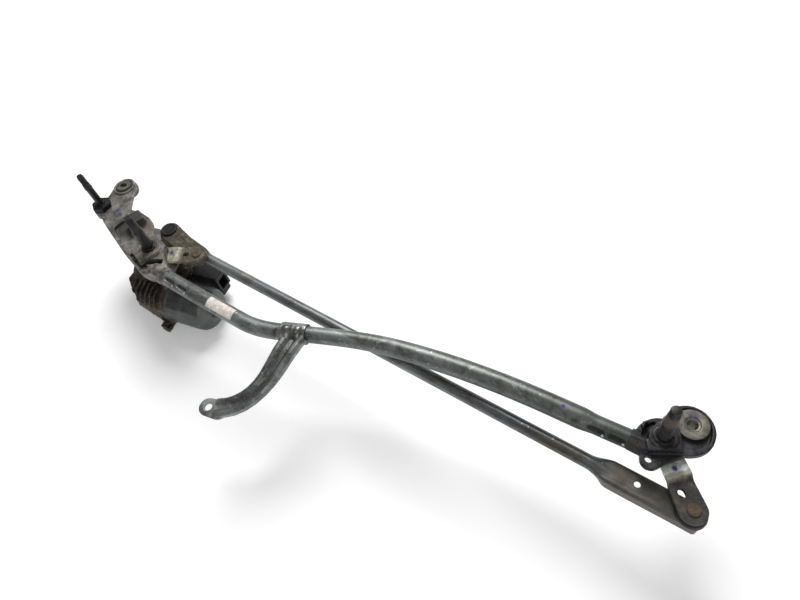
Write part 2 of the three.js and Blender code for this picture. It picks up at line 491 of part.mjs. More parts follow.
// ---------- drive link ----------
{
  const C = CRANK_PIN, A = PIN_A;
  const body = slotBar(C, A, 13.2, 11, 5, 11, 12);
  const a = Math.atan2(A[1] - C[1], A[0] - C[0]) / DEG, L = Math.hypot(A[0] - C[0], A[1] - C[1]);
  const mid = along(C, a, L / 2);
  const hollow = turnedBox(...mid, a, L - 34, 17, 0, 8.8);
  const groove = turnedBox(...mid, a, L - 36, 8, 10.1, 13);
  let s = cut(body, hollow, groove, cyl(...C, 0, 14, 8.6, 24), cyl(...A, 0, 14, 5.25, 20), cyl(...A, 10.2, 14, 6.9, 20));
  add("drive_link", s, "dirtySteel");
  add("drive_link_socket", turned([[5.4, 3], [8.2, 3], [8.2, 11.3], [11.2, 11.3], [11.2, 12.8], [10, 13.6], [0, 13.6], [0, 9], [5.4, 9], [5.4, 3]], ...C, 24), "blackPlastic");
}

// ---------- crank ----------
{
  const M = MOTOR_P, C = CRANK_PIN;
  let s = slotBar(M, C, 13, 10.5, -19, -15, 12);
  s = cut(s, cyl(...M, -24, 0, 4.7, 20), cyl(...C, -24, 0, 4.1, 16));
  add("crank_arm", s, "dirtySteel");
  add("crank_pin", turned([[0, -20.4], [6, -20.4], [6, -19.3], [3.8, -19.3], [3.8, -14.7], [5.6, -14.7], [5.6, -13.4], [4.8, -12.8], [4.8, -11.2], [4, -10.5], [0, -10.5]], ...C, 20), "rustySteel");
  add("crank_nut", cut(cyl(...M, -14.7, -10.8, 8.6, 6), cyl(...M, -20, 2, 4.3, 16)), "rustySteel");
}
add("output_shaft", turned([[0, -71], [5, -71], [5, -17.4], [4.4, -15.4], [4.4, -11], [4, -10.6], [4, -7], [3.4, -6.5], [0, -6.5]], 0, 0, 20), "sleeveSteel", motor);
add("output_shaft_bush", ring(0, 0, -51, -28.4, 5.4, 7.6, 20), "bronze", motor);
add("output_shaft_seal", ring(0, 0, -27.8, -23.5, 5.4, 9.2, 20), "rubber", motor);

// ---------- gear housing, wheel and cover ----------
const BOWL_R = 43, MOTOR_FACE = 54; // gear bowl radius, and the plane where the motor can meets the housing
const BOSS = [95, 205, 318]; // motor screws
const COVER_BOSS = [38, 150, 215];
{
  const Y = -WORM_OFFSET, Z = WORM_Z;
  let h = join(
    turned([[0, -76], [BOWL_R, -76], [BOWL_R, -47], [40, -41], [30, -37], [16, -34.5], [15.5, -25.4], [0, -25.4]], 0, 0, 40),
    rod([-26, Y, Z], [20, Y, Z], 15.5, 24, 17.6),
    rod([13.2, Y, Z], [48, Y, Z], 17.8, 24, 29.5),
    rod([-6, Y - 3, Z - 4], [47, Y - 4, Z - 4], 18.5, 24, 30).subtract(box(-80, 13.1, -120, 20, -110, -76)),
    rod([46, Y, Z], [MOTOR_FACE, Y, Z], 31.6, 32),
    box(-30, 20, Y - 2, Y + 24, -76, -42),
    box(MOTOR_FACE - 8.6, MOTOR_FACE, Y + 24, Y + 41, -53.5, -40.5),
    box(MOTOR_FACE - 8.6, MOTOR_FACE, Y - 40.5, Y - 22, -80.5, -66.5),
  );
  for (const a of BOSS) h = h.add(cyl(...along([0, 0], a, 31), -45, -25.4, 6.5, 14));
  for (const a of COVER_BOSS) h = h.add(cyl(...along([0, 0], a, 44), -76, -58, 5.5, 14));
  // outside ribs
  for (const x of [-12, -2, 8, 18, 28, 38]) h = h.add(rod([x - 1.2, Y, Z], [x + 1.2, Y, Z], 20 + 0.24 * x + 3, 20).subtract(rod([x - 4, Y, Z], [x + 4, Y, Z], 12, 16)).intersect(box(-60, 60, Y - 60, Y + 10, -76, -30)));
  // the outside runs off slantwise past the worm's blind end
  h = h.subtract(turnedBox(-26.5 - 28.3, -42 - 28.3, -42, 90, 80, -90, -23).intersect(box(-120, -4, -140, -18, -90, -23)));
  h = cut(
    h,
    cyl(0, 0, -77, -47.5, 39.5, 40),
    cyl(0, 0, -60, -20, 7.9, 24),
    cyl(0, 0, -28, -20, 9.6, 24),
    rod([-19, Y, Z], [MOTOR_FACE + 3, Y, Z], 8.4, 20),
    rod([40, Y, Z], [MOTOR_FACE + 3, Y, Z], 12, 20),
    rod([MOTOR_FACE - 2.2, Y, Z], [MOTOR_FACE + 3, Y, Z], 27.2, 28),
    rod([MOTOR_FACE - 12, Y + 35, Z + 11], [MOTOR_FACE + 3, Y + 35, Z + 11], 2.2, 12),
    rod([MOTOR_FACE - 12, Y - 35.6, Z - 15.5], [MOTOR_FACE + 3, Y - 35.6, Z - 15.5], 2.2, 12),
  );
  for (const a of BOSS) h = h.subtract(cyl(...along([0, 0], a, 31), -40, -20, 2.7, 12));
  for (const a of COVER_BOSS) h = h.subtract(cyl(...along([0, 0], a, 44), -78, -62, 1.9, 12));
  // closed corner of the bowl under the motor flange, which the cover steps round
  h = h.add(cyl(0, 0, -76, -73, BOWL_R - 1.5, 40).intersect(box(12.6, 60, -60, -6.6, -80, -60)));
  h = h.decompose().sort((a, b) => b.volume() - a.volume())[0];
  add("gear_housing", h, "motorCasting", motor);

  const teeth = [];
  const NT = 62;
  for (let i = 0; i < NT; i++) {
    const a = (i * 2 * Math.PI) / NT, w = Math.PI / NT;
    for (const [k, r] of [[-0.5, 35.4], [0.5, 37]]) teeth.push([r * Math.cos(a + k * w), r * Math.sin(a + k * w)]);
  }
  let wheel = join(plate(teeth, -63, -53), cyl(0, 0, -68, -51.6, 12, 24));
  wheel = cut(wheel, ring(0, 0, -54.8, -50, 14, 32, 28), cyl(0, 0, -80, -40, 5.15, 20));
  add("worm_wheel", wheel, "whiteNylon", motor);

  // black cover with its connector beside the motor
  let c = join(
    turned([[0, -86], [41, -86], [BOWL_R, -83.5], [BOWL_R, -76.3], [0, -76.3]], 0, 0, 40),
    plate([[20, -6.9], [49, -6.9], [70, -7], [76, -2], [76, 12], [66, 20], [40, 24], [20, 22]], -86, -76.3, 4, 2),
    plate([[59, -7], [99, -6.6], [99, 12], [84, 17], [66, 22], [55, 23.6], [55, 1], [59, 1]], -77, -40, 3, 2),
    box(97, 102, -8, 13.2, -66, -42.4),
  );
  for (const a of COVER_BOSS) c = c.add(cyl(...along([0, 0], a, 44), -82, -76.3, 5.5, 14));
  c = cut(c, cyl(0, 0, -83.2, -70, 39, 36).subtract(box(10.4, 60, -60, -4.4, -90, -60)), box(12.9, 60, -60, -6.9, -90, -70), box(80, 130, -4.5, 9.5, -63, -46));
  for (const a of COVER_BOSS) c = cut(c, cyl(...along([0, 0], a, 44), -90, -70, 2.2, 12), cyl(...along([0, 0], a, 44), -90, -82, 4.4, 14));
  add("gear_cover", c, "blackPlastic", motor);
  add("circuit_board", plate([[-32, -13], [-14, -31], [9.5, -32], [9.5, -3.5], [32, -3.5], [32, 12], [14, 31], [-14, 31], [-32, 12]], -81.4, -79.8), "board", motor);
}

// ---------- motor ----------
{
  const Y = -WORM_OFFSET, Z = WORM_Z;
  // revolved pieces are drawn along Z and then laid along the worm's axis
  const lay = (name, s, colour) => {
    const mesh = add(name, s, colour, motor);
    mesh.position.set(MOTOR_FACE - 37.2, Y, Z);
    mesh.rotation.y = Math.PI / 2;
    return mesh;
  };
  lay("yoke", turned([
    [28, 37.6], [31.8, 37.6], [31.8, 39.4], [30, 40.4], [30, 86], [28.8, 92], [25.6, 96], [20, 98], [9.4, 99], [9, 103.5], [7.6, 105], [0, 105],
    [0, 103.4], [6.9, 103.4], [7.3, 97.4], [19, 96.4], [24.6, 94.4], [27.4, 91], [28.3, 86], [28.3, 40], [28, 37.6],
  ], 0, 0, 40), "yokeSteel");
  const magnet = (a0) => {
    const pts = [];
    for (let i = 0; i <= 10; i++) pts.push([27.9 * Math.cos((a0 + i * 13) * DEG), 27.9 * Math.sin((a0 + i * 13) * DEG)]);
    for (let i = 10; i >= 0; i--) pts.push([22 * Math.cos((a0 + i * 13) * DEG), 22 * Math.sin((a0 + i * 13) * DEG)]);
    return plate(pts, 52, 84);
  };
  lay("magnet_upper", magnet(25), "ferrite");
  lay("magnet_lower", magnet(205), "ferrite");
  const worm = [[0, -18.6], [2.6, -18.6], [2.6, -14.5]];
  for (let x = -13; x <= 12; x += 5) worm.push([3.3, x - 1], [4.6, x + 0.5], [4.6, x + 1.5], [3.3, x + 3]);
  worm.push([2.6, 17], [2.6, 116], [0, 116]);
  lay("armature_shaft", turned(worm, 0, 0, 16), "sleeveSteel").position.x = 0;
  const poles = [];
  for (let i = 0; i < 10; i++) for (const [k, r] of [[-12.5, 21], [-6, 21.2], [6, 21.2], [12.5, 21], [13.6, 19], [15, 13], [21, 13], [22.4, 19]]) poles.push([r * Math.cos((i * 36 + k) * DEG), r * Math.sin((i * 36 + k) * DEG)]);
  lay("armature_core", cut(plate(poles, 54, 82), cyl(0, 0, 40, 100, 2.9, 16)), "ferrite");
  lay("commutator", ring(0, 0, 42.5, 52, 2.9, 9.5, 20), "copper");
  lay("brush_holder", cut(join(cyl(0, 0, 38, 40.2, 26.8, 28), box(-5, 5, 10.4, 22, 40, 51.4), box(-5, 5, -22, -10.4, 40, 51.4)), cyl(0, 0, 30, 60, 10.6, 20), box(-3.6, 3.6, 9, 24, 42.6, 50.2), box(-3.6, 3.6, -24, -9, 42.6, 50.2)), "blackPlastic");
  lay("brush_a", box(-3.2, 3.2, 9.9, 20, 43, 49.8), "carbon");
  lay("brush_b", box(-3.2, 3.2, -20, -9.9, 43, 49.8), "carbon");
  lay("rear_bearing", ring(0, 0, 97.8, 102.8, 2.75, 6.6, 20), "bronze");
  lay("front_bearing", ring(0, 0, 27, 34, 2.75, 10.9, 20), "sleeveSteel");
}

// ---------- screws ----------
BOSS.forEach((a, i) => {
  const [x, y] = along([0, 0], a, 31);
  add("motor_screw_" + (i + 1), turned([[0, -38], [2.4, -38], [2.4, -20.7], [5.6, -20.7], [5.6, -18.3], [4.6, -17.2], [2.4, -17.2], [2, -18.6], [0, -18.6]], x, y, 12), "rustySteel", motor);
});
COVER_BOSS.forEach((a, i) => {
  const [x, y] = along([0, 0], a, 44);
  add("cover_screw_" + (i + 1), turned([[0, -84.6], [4, -84.6], [4, -82.3], [1.6, -82.3], [1.6, -64], [0, -64]], x, y, 12), "rustySteel", motor);
});
[[35, 11], [-35.6, -15.5]].forEach(([dy, dz], i) => {
  const s = turned([[0, 30], [1.8, 30], [1.8, 40], [4, 40], [4, 42.8], [3.4, 43.3], [0, 43.3]], 0, 0, 12);
  const mesh = add("yoke_screw_" + (i + 1), s, "rustySteel", motor);
  mesh.position.set(MOTOR_FACE - 39.6, -WORM_OFFSET + dy, WORM_Z + dz);
  mesh.rotation.y = Math.PI / 2;
});

export default part;
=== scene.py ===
# Windshield wiper linkage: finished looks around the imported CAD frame.
import math
import bpy
import bmesh
import numpy as np
from mathutils import Matrix, Vector


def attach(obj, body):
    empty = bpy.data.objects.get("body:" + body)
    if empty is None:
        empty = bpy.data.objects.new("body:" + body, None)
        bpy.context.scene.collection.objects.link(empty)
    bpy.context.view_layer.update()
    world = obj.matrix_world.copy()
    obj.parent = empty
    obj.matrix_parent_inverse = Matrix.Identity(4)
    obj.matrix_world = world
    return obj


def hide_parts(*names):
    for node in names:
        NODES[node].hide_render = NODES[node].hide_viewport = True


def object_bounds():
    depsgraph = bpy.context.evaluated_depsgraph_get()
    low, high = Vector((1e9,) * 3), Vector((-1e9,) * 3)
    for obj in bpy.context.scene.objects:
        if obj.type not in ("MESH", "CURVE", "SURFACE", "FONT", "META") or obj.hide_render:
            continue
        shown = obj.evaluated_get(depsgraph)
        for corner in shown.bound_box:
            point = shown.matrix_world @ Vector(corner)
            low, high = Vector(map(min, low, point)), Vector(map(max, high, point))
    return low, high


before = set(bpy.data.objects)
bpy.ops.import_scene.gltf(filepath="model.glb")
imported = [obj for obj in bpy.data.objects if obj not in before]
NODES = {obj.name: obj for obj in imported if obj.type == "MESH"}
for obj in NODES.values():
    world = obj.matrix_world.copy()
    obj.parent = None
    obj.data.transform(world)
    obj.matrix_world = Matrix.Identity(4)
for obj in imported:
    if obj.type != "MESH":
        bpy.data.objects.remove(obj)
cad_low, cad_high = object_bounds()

scene = bpy.context.scene
DEG = math.pi / 180

# ---------------------------------------------------------------- camera, floor, light
cam_data = bpy.data.cameras.new("camera")
cam_data.lens, cam_data.sensor_width, cam_data.sensor_fit = 27, 36, "HORIZONTAL"
cam_data.clip_start, cam_data.clip_end = 0.01, 20
cam = bpy.data.objects.new("camera", cam_data)
scene.collection.objects.link(cam)
right, up, back = (0.81406, 0.56177, -0.14739), (-0.39099, 0.71775, 0.57616), (0.42946, -0.41140, 0.80394)
rot = Matrix((right, up, back)).transposed()
cam.matrix_world = Matrix.Translation((-0.0264, -0.2876, 0.5576)) @ rot.to_4x4()
scene.camera = cam
scene.view_settings.view_transform = "Standard"

world = bpy.data.worlds.new("studio")
scene.world = world
world.use_nodes = True
world.node_tree.nodes["Background"].inputs[0].default_value = (1, 1, 1, 1)
world.node_tree.nodes["Background"].inputs[1].default_value = 0.3


def area(name, at, to, size, power, colour=(1, 1, 1)):
    d = bpy.data.lights.new(name, "AREA")
    d.shape, d.size, d.energy, d.color = "DISK", size, power, colour
    o = bpy.data.objects.new(name, d)
    scene.collection.objects.link(o)
    o.location = at
    o.rotation_euler = (Vector(to) - Vector(at)).to_track_quat("-Z", "Y").to_euler()
    return o


area("key", (-1.1, 1.2, 1.9), (-0.4, -0.05, 0), 1.3, 54)
area("fill", (0.9, -1.3, 1.3), (-0.4, -0.05, 0), 1.2, 11)

# ---------------------------------------------------------------- node helpers
class Mat:
    def __init__(self, name):
        self.m = bpy.data.materials.new(name)
        self.m.use_nodes = True
        self.t = self.m.node_tree
        self.b = self.t.nodes["Principled BSDF"]
        self.co = self.t.nodes.new("ShaderNodeTexCoord").outputs["Object"]

    def put(self, socket, value):
        if isinstance(value, bpy.types.NodeSocket):
            self.t.links.new(value, socket)
        elif isinstance(value, (tuple, list)) and len(value) == 3 and socket.type == "RGBA":
            socket.default_value = (*value, 1)
        else:
            socket.default_value = value

    def math(self, op, a, b=0.0, clamp=False):
        n = self.t.nodes.new("ShaderNodeMath")
        n.operation, n.use_clamp = op, clamp
        self.put(n.inputs[0], a)
        self.put(n.inputs[1], b)
        return n.outputs[0]

    def scaled(self, v):
        n = self.t.nodes.new("ShaderNodeVectorMath")
        n.operation = "MULTIPLY"
        self.put(n.inputs[0], self.co)
        n.inputs[1].default_value = v
        return n.outputs[0]

    def noise(self, scale, detail=5, rough=0.55, stretch=None, distortion=0.0):
        n = self.t.nodes.new("ShaderNodeTexNoise")
        self.put(n.inputs["Vector"], self.scaled(stretch) if stretch else self.co)
        n.inputs["Scale"].default_value = scale
        n.inputs["Detail"].default_value = detail
        n.inputs["Roughness"].default_value = rough
        n.inputs["Distortion"].default_value = distortion
        return n.outputs["Fac"]

    def cells(self, scale):
        n = self.t.nodes.new("ShaderNodeTexVoronoi")
        self.put(n.inputs["Vector"], self.co)
        n.inputs["Scale"].default_value = scale
        return n.outputs["Distance"]

    def ramp(self, fac, stops):
        n = self.t.nodes.new("ShaderNodeValToRGB")
        e = n.color_ramp.elements
        while len(e) < len(stops):
            e.new(0.5)
        for el, (p, c) in zip(e, stops):
            el.position = p
            el.color = (*c, 1) if isinstance(c, (tuple, list)) else (c, c, c, 1)
        self.put(n.inputs[0], fac)
        return n.outputs[0]

    def mix(self, fac, a, b):
        n = self.t.nodes.new("ShaderNodeMix")
        n.data_type = "RGBA"
        self.put(n.inputs["Factor"], fac)
        self.put(n.inputs[6], a)
        self.put(n.inputs[7], b)
        return n.outputs[2]

    def span(self, fac, low, high):
        n = self.t.nodes.new("ShaderNodeMapRange")
        self.put(n.inputs[0], fac)
        n.inputs[1].default_value, n.inputs[2].default_value = 0.3, 0.7
        n.inputs[3].default_value, n.inputs[4].default_value = low, high
        return n.outputs[0]

    def spot(self, centre, radius, soft=0.3):
        """1 near a point of the row frame, 0 away from it, with an uneven rim."""
        n = self.t.nodes.new("ShaderNodeVectorMath")
        n.operation = "DISTANCE"
        self.put(n.inputs[0], self.co)
        n.inputs[1].default_value = centre
        wob = self.math("MULTIPLY", self.math("SUBTRACT", self.noise(900, 2), 0.5), radius * 1.2)
        d = self.math("ADD", n.outputs[1], wob)
        r = self.t.nodes.new("ShaderNodeMapRange")
        self.put(r.inputs[0], d)
        r.inputs[1].default_value, r.inputs[2].default_value = radius * (1 - soft), radius * (1 + soft)
        r.inputs[3].default_value, r.inputs[4].default_value = 1, 0
        return r.outputs[0]

    def along(self, origin, direction, a, b):
        """0 before a and 1 after b along a direction of the row frame, in metres."""
        s = self.t.nodes.new("ShaderNodeVectorMath")
        s.operation = "SUBTRACT"
        self.put(s.inputs[0], self.co)
        s.inputs[1].default_value = origin
        d = self.t.nodes.new("ShaderNodeVectorMath")
        d.operation = "DOT_PRODUCT"
        self.put(d.inputs[0], s.outputs[0])
        d.inputs[1].default_value = direction
        wob = self.math("MULTIPLY", self.math("SUBTRACT", self.noise(260, 3), 0.5), 0.006)
        r = self.t.nodes.new("ShaderNodeMapRange")
        self.put(r.inputs[0], self.math("ADD", d.outputs[1], wob))
        r.inputs[1].default_value, r.inputs[2].default_value = a, b
        return r.outputs[0]


def surface(name, cols, scale=70, stretch=None, metal=0.7, rough=(0.35, 0.6), grain=350, bump=0.25, depth=0.0004,
            dirt=None, crevice_shade=None, speck=None, extra=None, coat=0.0, spec=0.5):
    """A worn surface: cols are dark, middle and light, dirt is (colour, share, scale), and the painted shade in
    recesses, from ambient occlusion, is (colour, strength).
    """
    m = Mat(name)
    big = m.noise(scale, 6, 0.6, stretch, 0.4)
    col = m.ramp(big, [(0.32, cols[0]), (0.5, cols[1]), (0.68, cols[2])])
    fine = m.noise(grain, 4, 0.6, stretch)
    col = m.mix(m.ramp(fine, [(0.42, 0), (0.72, 0.45)]), col, cols[2])
    if speck:
        sp = m.ramp(m.noise(speck[1], 3, 0.7), [(speck[2], 0), (speck[2] + 0.06, 1)])
        col = m.mix(sp, col, speck[0])
    if dirt:
        mask = m.ramp(m.noise(dirt[2], 8, 0.68, None, 0.6), [(0.62 - dirt[1] * 0.4, 0), (0.78 - dirt[1] * 0.4, 1)])
        col = m.mix(mask, col, dirt[0])
    # painted shade: darker in recesses and creases, from ambient occlusion
    if crevice_shade:
        ao = m.t.nodes.new("ShaderNodeAmbientOcclusion")
        ao.samples, ao.only_local = 6, True
        ao.inputs["Distance"].default_value = 0.009
        ao.inputs["Color"].default_value = (1, 1, 1, 1)
        inv = m.ramp(ao.outputs["AO"], [(0.3, crevice_shade[1]), (0.93, 0)])
        col = m.mix(inv, col, crevice_shade[0])
    if extra:
        col = extra(m, col)
    m.put(m.b.inputs["Base Color"], col)
    m.b.inputs["Metallic"].default_value = metal
    m.put(m.b.inputs["Roughness"], m.span(m.math("ADD", m.math("MULTIPLY", fine, 0.5), m.math("MULTIPLY", big, 0.5)), rough[0], rough[1]))
    if coat:
        m.b.inputs["Coat Weight"].default_value = coat
    m.b.inputs["Specular IOR Level"].default_value = spec
    height = m.math("ADD", m.math("MULTIPLY", fine, 0.6), m.math("MULTIPLY", m.noise(grain * 2.6, 3, 0.6), 0.4))
    bn = m.t.nodes.new("ShaderNodeBump")
    bn.inputs["Strength"].default_value = bump
    bn.inputs["Distance"].default_value = depth
    m.put(bn.inputs["Height"], height)
    m.put(m.b.inputs["Normal"], bn.outputs[0])
    return m.m


def M(x, y, z=0.0):
    """A point of the drawing frame in millimetres, in the row frame in metres."""
    return ((x + 28) / 1000, (y - 64) / 1000, (z - 2) / 1000)


BLUE = (0.02, 0.03, 0.16)


def dots(*points):
    def go(m, col):
        for c, r in points:
            col = m.mix(m.math("MULTIPLY", m.spot(c, r), 0.85), col, BLUE)
        return col
    return go


def tube_extra(m, col):
    # the right end is dull and greenish, the rest is brighter
    dull = m.math("MULTIPLY", m.along(M(-190, 22, 20), (1, 0, 0), 0.0, 0.10), 0.72)
    col = m.mix(dull, col, (0.05, 0.056, 0.05))
    return dots((M(-132, 21.5, 31), 0.0019))(m, col)


def rod_extra(m, col):
    # the open channel at the right end holds brown dirt
    dark = m.math("MULTIPLY", m.along(M(-608, 0, 0), (-1, 0, 0), 0.0, 0.016), 0.8)
    col = m.mix(dark, col, (0.018, 0.016, 0.013))
    brown = m.math("MULTIPLY", m.along(M(-92, 0, 0), (1, 0, 0), 0.0, 0.03), 0.62)
    return m.mix(brown, col, m.ramp(m.noise(90, 6, 0.65), [(0.35, (0.045, 0.037, 0.028)), (0.65, (0.11, 0.088, 0.06))]))


GALV = surface("galvanised", [(0.075, 0.083, 0.08), (0.135, 0.147, 0.141), (0.27, 0.288, 0.278)], 38, (0.35, 1, 1), 0.82, (0.27, 0.46), 420, 0.3, 0.0003,
               dirt=((0.075, 0.07, 0.062), 0.22, 55), speck=((0.42, 0.43, 0.43), 240, 0.64), crevice_shade=((0.02, 0.02, 0.018), 0.85), extra=tube_extra)
GALV_ROD = surface("galvanised_rod", [(0.075, 0.08, 0.082), (0.13, 0.137, 0.14), (0.26, 0.27, 0.275)], 30, (0.16, 1, 1), 0.75, (0.3, 0.5), 380, 0.25, 0.0003,
                   dirt=((0.09, 0.072, 0.05), 0.24, 34), speck=((0.4, 0.41, 0.41), 200, 0.66), crevice_shade=((0.04, 0.03, 0.02), 0.75), extra=rod_extra)
GALV_FOOT = surface("galvanised_foot", [(0.085, 0.09, 0.086), (0.15, 0.158, 0.152), (0.3, 0.312, 0.302)], 45, None, 0.82, (0.28, 0.48), 400, 0.3, 0.0003,
                    dirt=((0.075, 0.068, 0.058), 0.2, 60), speck=((0.46, 0.47, 0.46), 220, 0.62), crevice_shade=((0.05, 0.045, 0.04), 0.6))


def cast_extra(m, col):
    # painted shade darkens the pocket side, the block by the spindle is darker, and the front wall stays lighter
    for c, rad, k in ((M(-733, -30, 24), 0.017, 0.85), (M(-722, -17, 37), 0.016, 0.9), (M(-672, -35, 27), 0.012, 0.7)):
        col = m.mix(m.math("MULTIPLY", m.spot(c, rad, 0.35), k), col, (0.028, 0.029, 0.026))
    rusty = m.math("MULTIPLY", m.spot(M(-703, -12, 28), 0.010, 0.6), 0.7)
    col = m.mix(rusty, col, (0.14, 0.09, 0.06))
    for c, rad in ((M(-776, -13, 22), 0.003), (M(-773, -17, 22), 0.0022), (M(-768.5, -14, 26), 0.0026)):
        col = m.mix(m.math("MULTIPLY", m.spot(c, rad), 0.75), col, BLUE)
    return col


CAST = surface("cast_aluminium", [(0.085, 0.08, 0.072), (0.17, 0.162, 0.15), (0.29, 0.278, 0.26)], 60, None, 0.3, (0.45, 0.7), 520, 0.4, 0.0004,
               dirt=((0.06, 0.05, 0.04), 0.42, 75), crevice_shade=((0.025, 0.021, 0.017), 1.0), extra=cast_extra)
DARK = surface("dark_casting", [(0.009, 0.009, 0.0105), (0.019, 0.019, 0.0215), (0.052, 0.053, 0.058)], 70, None, 0.4, (0.38, 0.6), 480, 0.4, 0.0004, spec=0.4,
               dirt=((0.06, 0.052, 0.042), 0.25, 80), crevice_shade=((0.008, 0.008, 0.009), 0.7), speck=((0.16, 0.165, 0.17), 300, 0.68))
BLACK = surface("black_steel", [(0.008, 0.008, 0.009), (0.016, 0.0155, 0.016), (0.045, 0.043, 0.042)], 120, None, 0.5, (0.3, 0.55), 600, 0.3, 0.0002,
                dirt=((0.05, 0.038, 0.028), 0.15, 120))


def spindle_extra(m, col):
    # a rusty band on the knurled cone
    z = m.along((0, 0, 0.0605), (0, 0, 1), 0.0, 0.003)
    z2 = m.along((0, 0, 0.0735), (0, 0, 1), 0.0, 0.003)
    band = m.math("MULTIPLY", m.math("SUBTRACT", z, z2, True), 0.75)
    return m.mix(band, col, (0.075, 0.05, 0.04))


SPINDLE = surface("spindle_steel", [(0.008, 0.008, 0.009), (0.018, 0.0175, 0.018), (0.05, 0.048, 0.047)], 110, None, 0.5, (0.3, 0.52), 600, 0.3, 0.0002,
                  dirt=((0.05, 0.04, 0.032), 0.12, 120), extra=spindle_extra)
SPINDLE_DARK = surface("spindle_dark_steel", [(0.006, 0.006, 0.0065), (0.013, 0.0125, 0.013), (0.04, 0.038, 0.037)], 110, None, 0.45, (0.3, 0.52), 600, 0.3, 0.0002,
                       dirt=((0.035, 0.03, 0.025), 0.12, 120))
RUST = surface("rusty_steel", [(0.035, 0.025, 0.017), (0.085, 0.058, 0.036), (0.19, 0.135, 0.085)], 180, None, 0.3, (0.55, 0.85), 700, 0.6, 0.0005,
               dirt=((0.05, 0.035, 0.025), 0.3, 160))
RUBBER = surface("rubber", [(0.008, 0.008, 0.008), (0.013, 0.013, 0.013), (0.03, 0.029, 0.028)], 150, None, 0.0, (0.6, 0.85), 700, 0.3, 0.0003,
                 dirt=((0.05, 0.045, 0.038), 0.18, 130))
PLASTIC = surface("black_plastic", [(0.0035, 0.0035, 0.004), (0.006, 0.006, 0.0068), (0.013, 0.013, 0.0135)], 110, None, 0.0, (0.4, 0.62), 800, 0.22, 0.0002, spec=0.28,
                  dirt=((0.03, 0.026, 0.02), 0.13, 90))
BRONZE = surface("bearing_bronze", [(0.2, 0.13, 0.05), (0.29, 0.19, 0.08), (0.4, 0.29, 0.14)], 200, None, 0.85, (0.35, 0.55), 700, 0.2, 0.0002)


def sleeve_extra(m, col):
    return m.mix(m.math("MULTIPLY", m.spot(M(-30.5, 72, 27), 0.0035), 0.6), col, (0.03, 0.03, 0.1))


SLEEVE = surface("sleeve_steel", [(0.085, 0.078, 0.06), (0.14, 0.13, 0.105), (0.25, 0.24, 0.21)], 130, None, 0.6, (0.32, 0.55), 600, 0.3, 0.0003,
                 dirt=((0.085, 0.07, 0.05), 0.3, 110), extra=sleeve_extra)
ALA, ARA = 30.5, -41.5
lp, rp = (-667, -41), (-45.5, 37)


def left_extra(m, col):
    d = (math.cos(ALA * DEG), math.sin(ALA * DEG), 0)
    clean = m.math("SUBTRACT", m.along(M(*lp), d, 0.014, 0.018), m.along(M(*lp), d, 0.031, 0.038), True)
    col = m.mix(m.math("MULTIPLY", clean, 0.8), col, m.ramp(m.noise(190, 6, 0.65), [(0.36, (0.17, 0.165, 0.1)), (0.62, (0.42, 0.43, 0.33))]))
    return m.mix(m.math("MULTIPLY", m.spot(M(-648.5, -27.5, 17.6), 0.003), 0.9), col, BLUE)


def right_extra(m, col):
    d = (math.cos(ARA * DEG), math.sin(ARA * DEG), 0)
    clean = m.math("SUBTRACT", 1.0, m.along(M(*rp), d, 0.031, 0.0345), True)
    shade = m.ramp(m.noise(140, 6, 0.6), [(0.35, (0.40, 0.41, 0.35)), (0.6, (0.70, 0.73, 0.70))])
    col = m.mix(m.math("MULTIPLY", clean, 0.93), col, shade)
    band = m.math("SUBTRACT", m.along(M(*rp), d, 0.027, 0.0285), m.along(M(*rp), d, 0.0335, 0.036), True)
    col = m.mix(m.math("MULTIPLY", band, 0.6), col, (0.16, 0.125, 0.075))
    return m.mix(m.math("MULTIPLY", m.spot(M(-26.6, 21.6, 17.6), 0.0024), 0.95), col, BLUE)


LEVER_L = surface("left_lever_steel", [(0.035, 0.031, 0.02), (0.078, 0.07, 0.046), (0.17, 0.156, 0.108)], 90, None, 0.35, (0.45, 0.75), 420, 0.6, 0.0006,
                  dirt=((0.06, 0.048, 0.03), 0.42, 95), extra=left_extra)
LEVER_R = surface("right_lever_steel", [(0.024, 0.0225, 0.019), (0.042, 0.0395, 0.034), (0.1, 0.096, 0.086)], 80, None, 0.55, (0.4, 0.62), 460, 0.35, 0.0004,
                  dirt=((0.085, 0.07, 0.05), 0.2, 85), extra=right_extra)
GRIME = surface("dirty_steel", [(0.022, 0.018, 0.012), (0.058, 0.049, 0.033), (0.15, 0.134, 0.096)], 130, None, 0.2, (0.55, 0.88), 380, 0.8, 0.0009,
                dirt=((0.05, 0.04, 0.025), 0.45, 120), speck=((0.24, 0.22, 0.165), 260, 0.63))
HOUSING = surface("motor_casting", [(0.011, 0.009, 0.0075), (0.04, 0.029, 0.021), (0.15, 0.11, 0.078)], 62, None, 0.25, (0.45, 0.8), 360, 0.7, 0.0009,
                  dirt=((0.022, 0.018, 0.015), 0.4, 70), speck=((0.36, 0.29, 0.22), 260, 0.615), crevice_shade=((0.012, 0.009, 0.007), 0.8))
YOKE = surface("yoke_steel", [(0.045, 0.05, 0.047), (0.072, 0.079, 0.075), (0.12, 0.13, 0.125)], 34, (1, 1, 1), 0.65, (0.34, 0.5), 420, 0.2, 0.0003,
               dirt=((0.03, 0.03, 0.028), 0.16, 60))


def label_extra(m, col):
    # faint generic printed rows, with no letters
    d = m.scaled((1, 1, 1))
    w = m.t.nodes.new("ShaderNodeTexWave")
    w.wave_type, w.bands_direction = "BANDS", "X"
    m.put(w.inputs["Vector"], d)
    w.inputs["Scale"].default_value = 240
    w.inputs["Distortion"].default_value = 3
    w.inputs["Detail"].default_value = 3
    smear = m.ramp(w.outputs["Fac"], [(0.3, 0.55), (0.6, 0.0)])
    part = m.ramp(m.noise(170, 2), [(0.46, 0.0), (0.56, 1.0)])
    return m.mix(m.math("MULTIPLY", smear, part), col, (0.26, 0.22, 0.2))


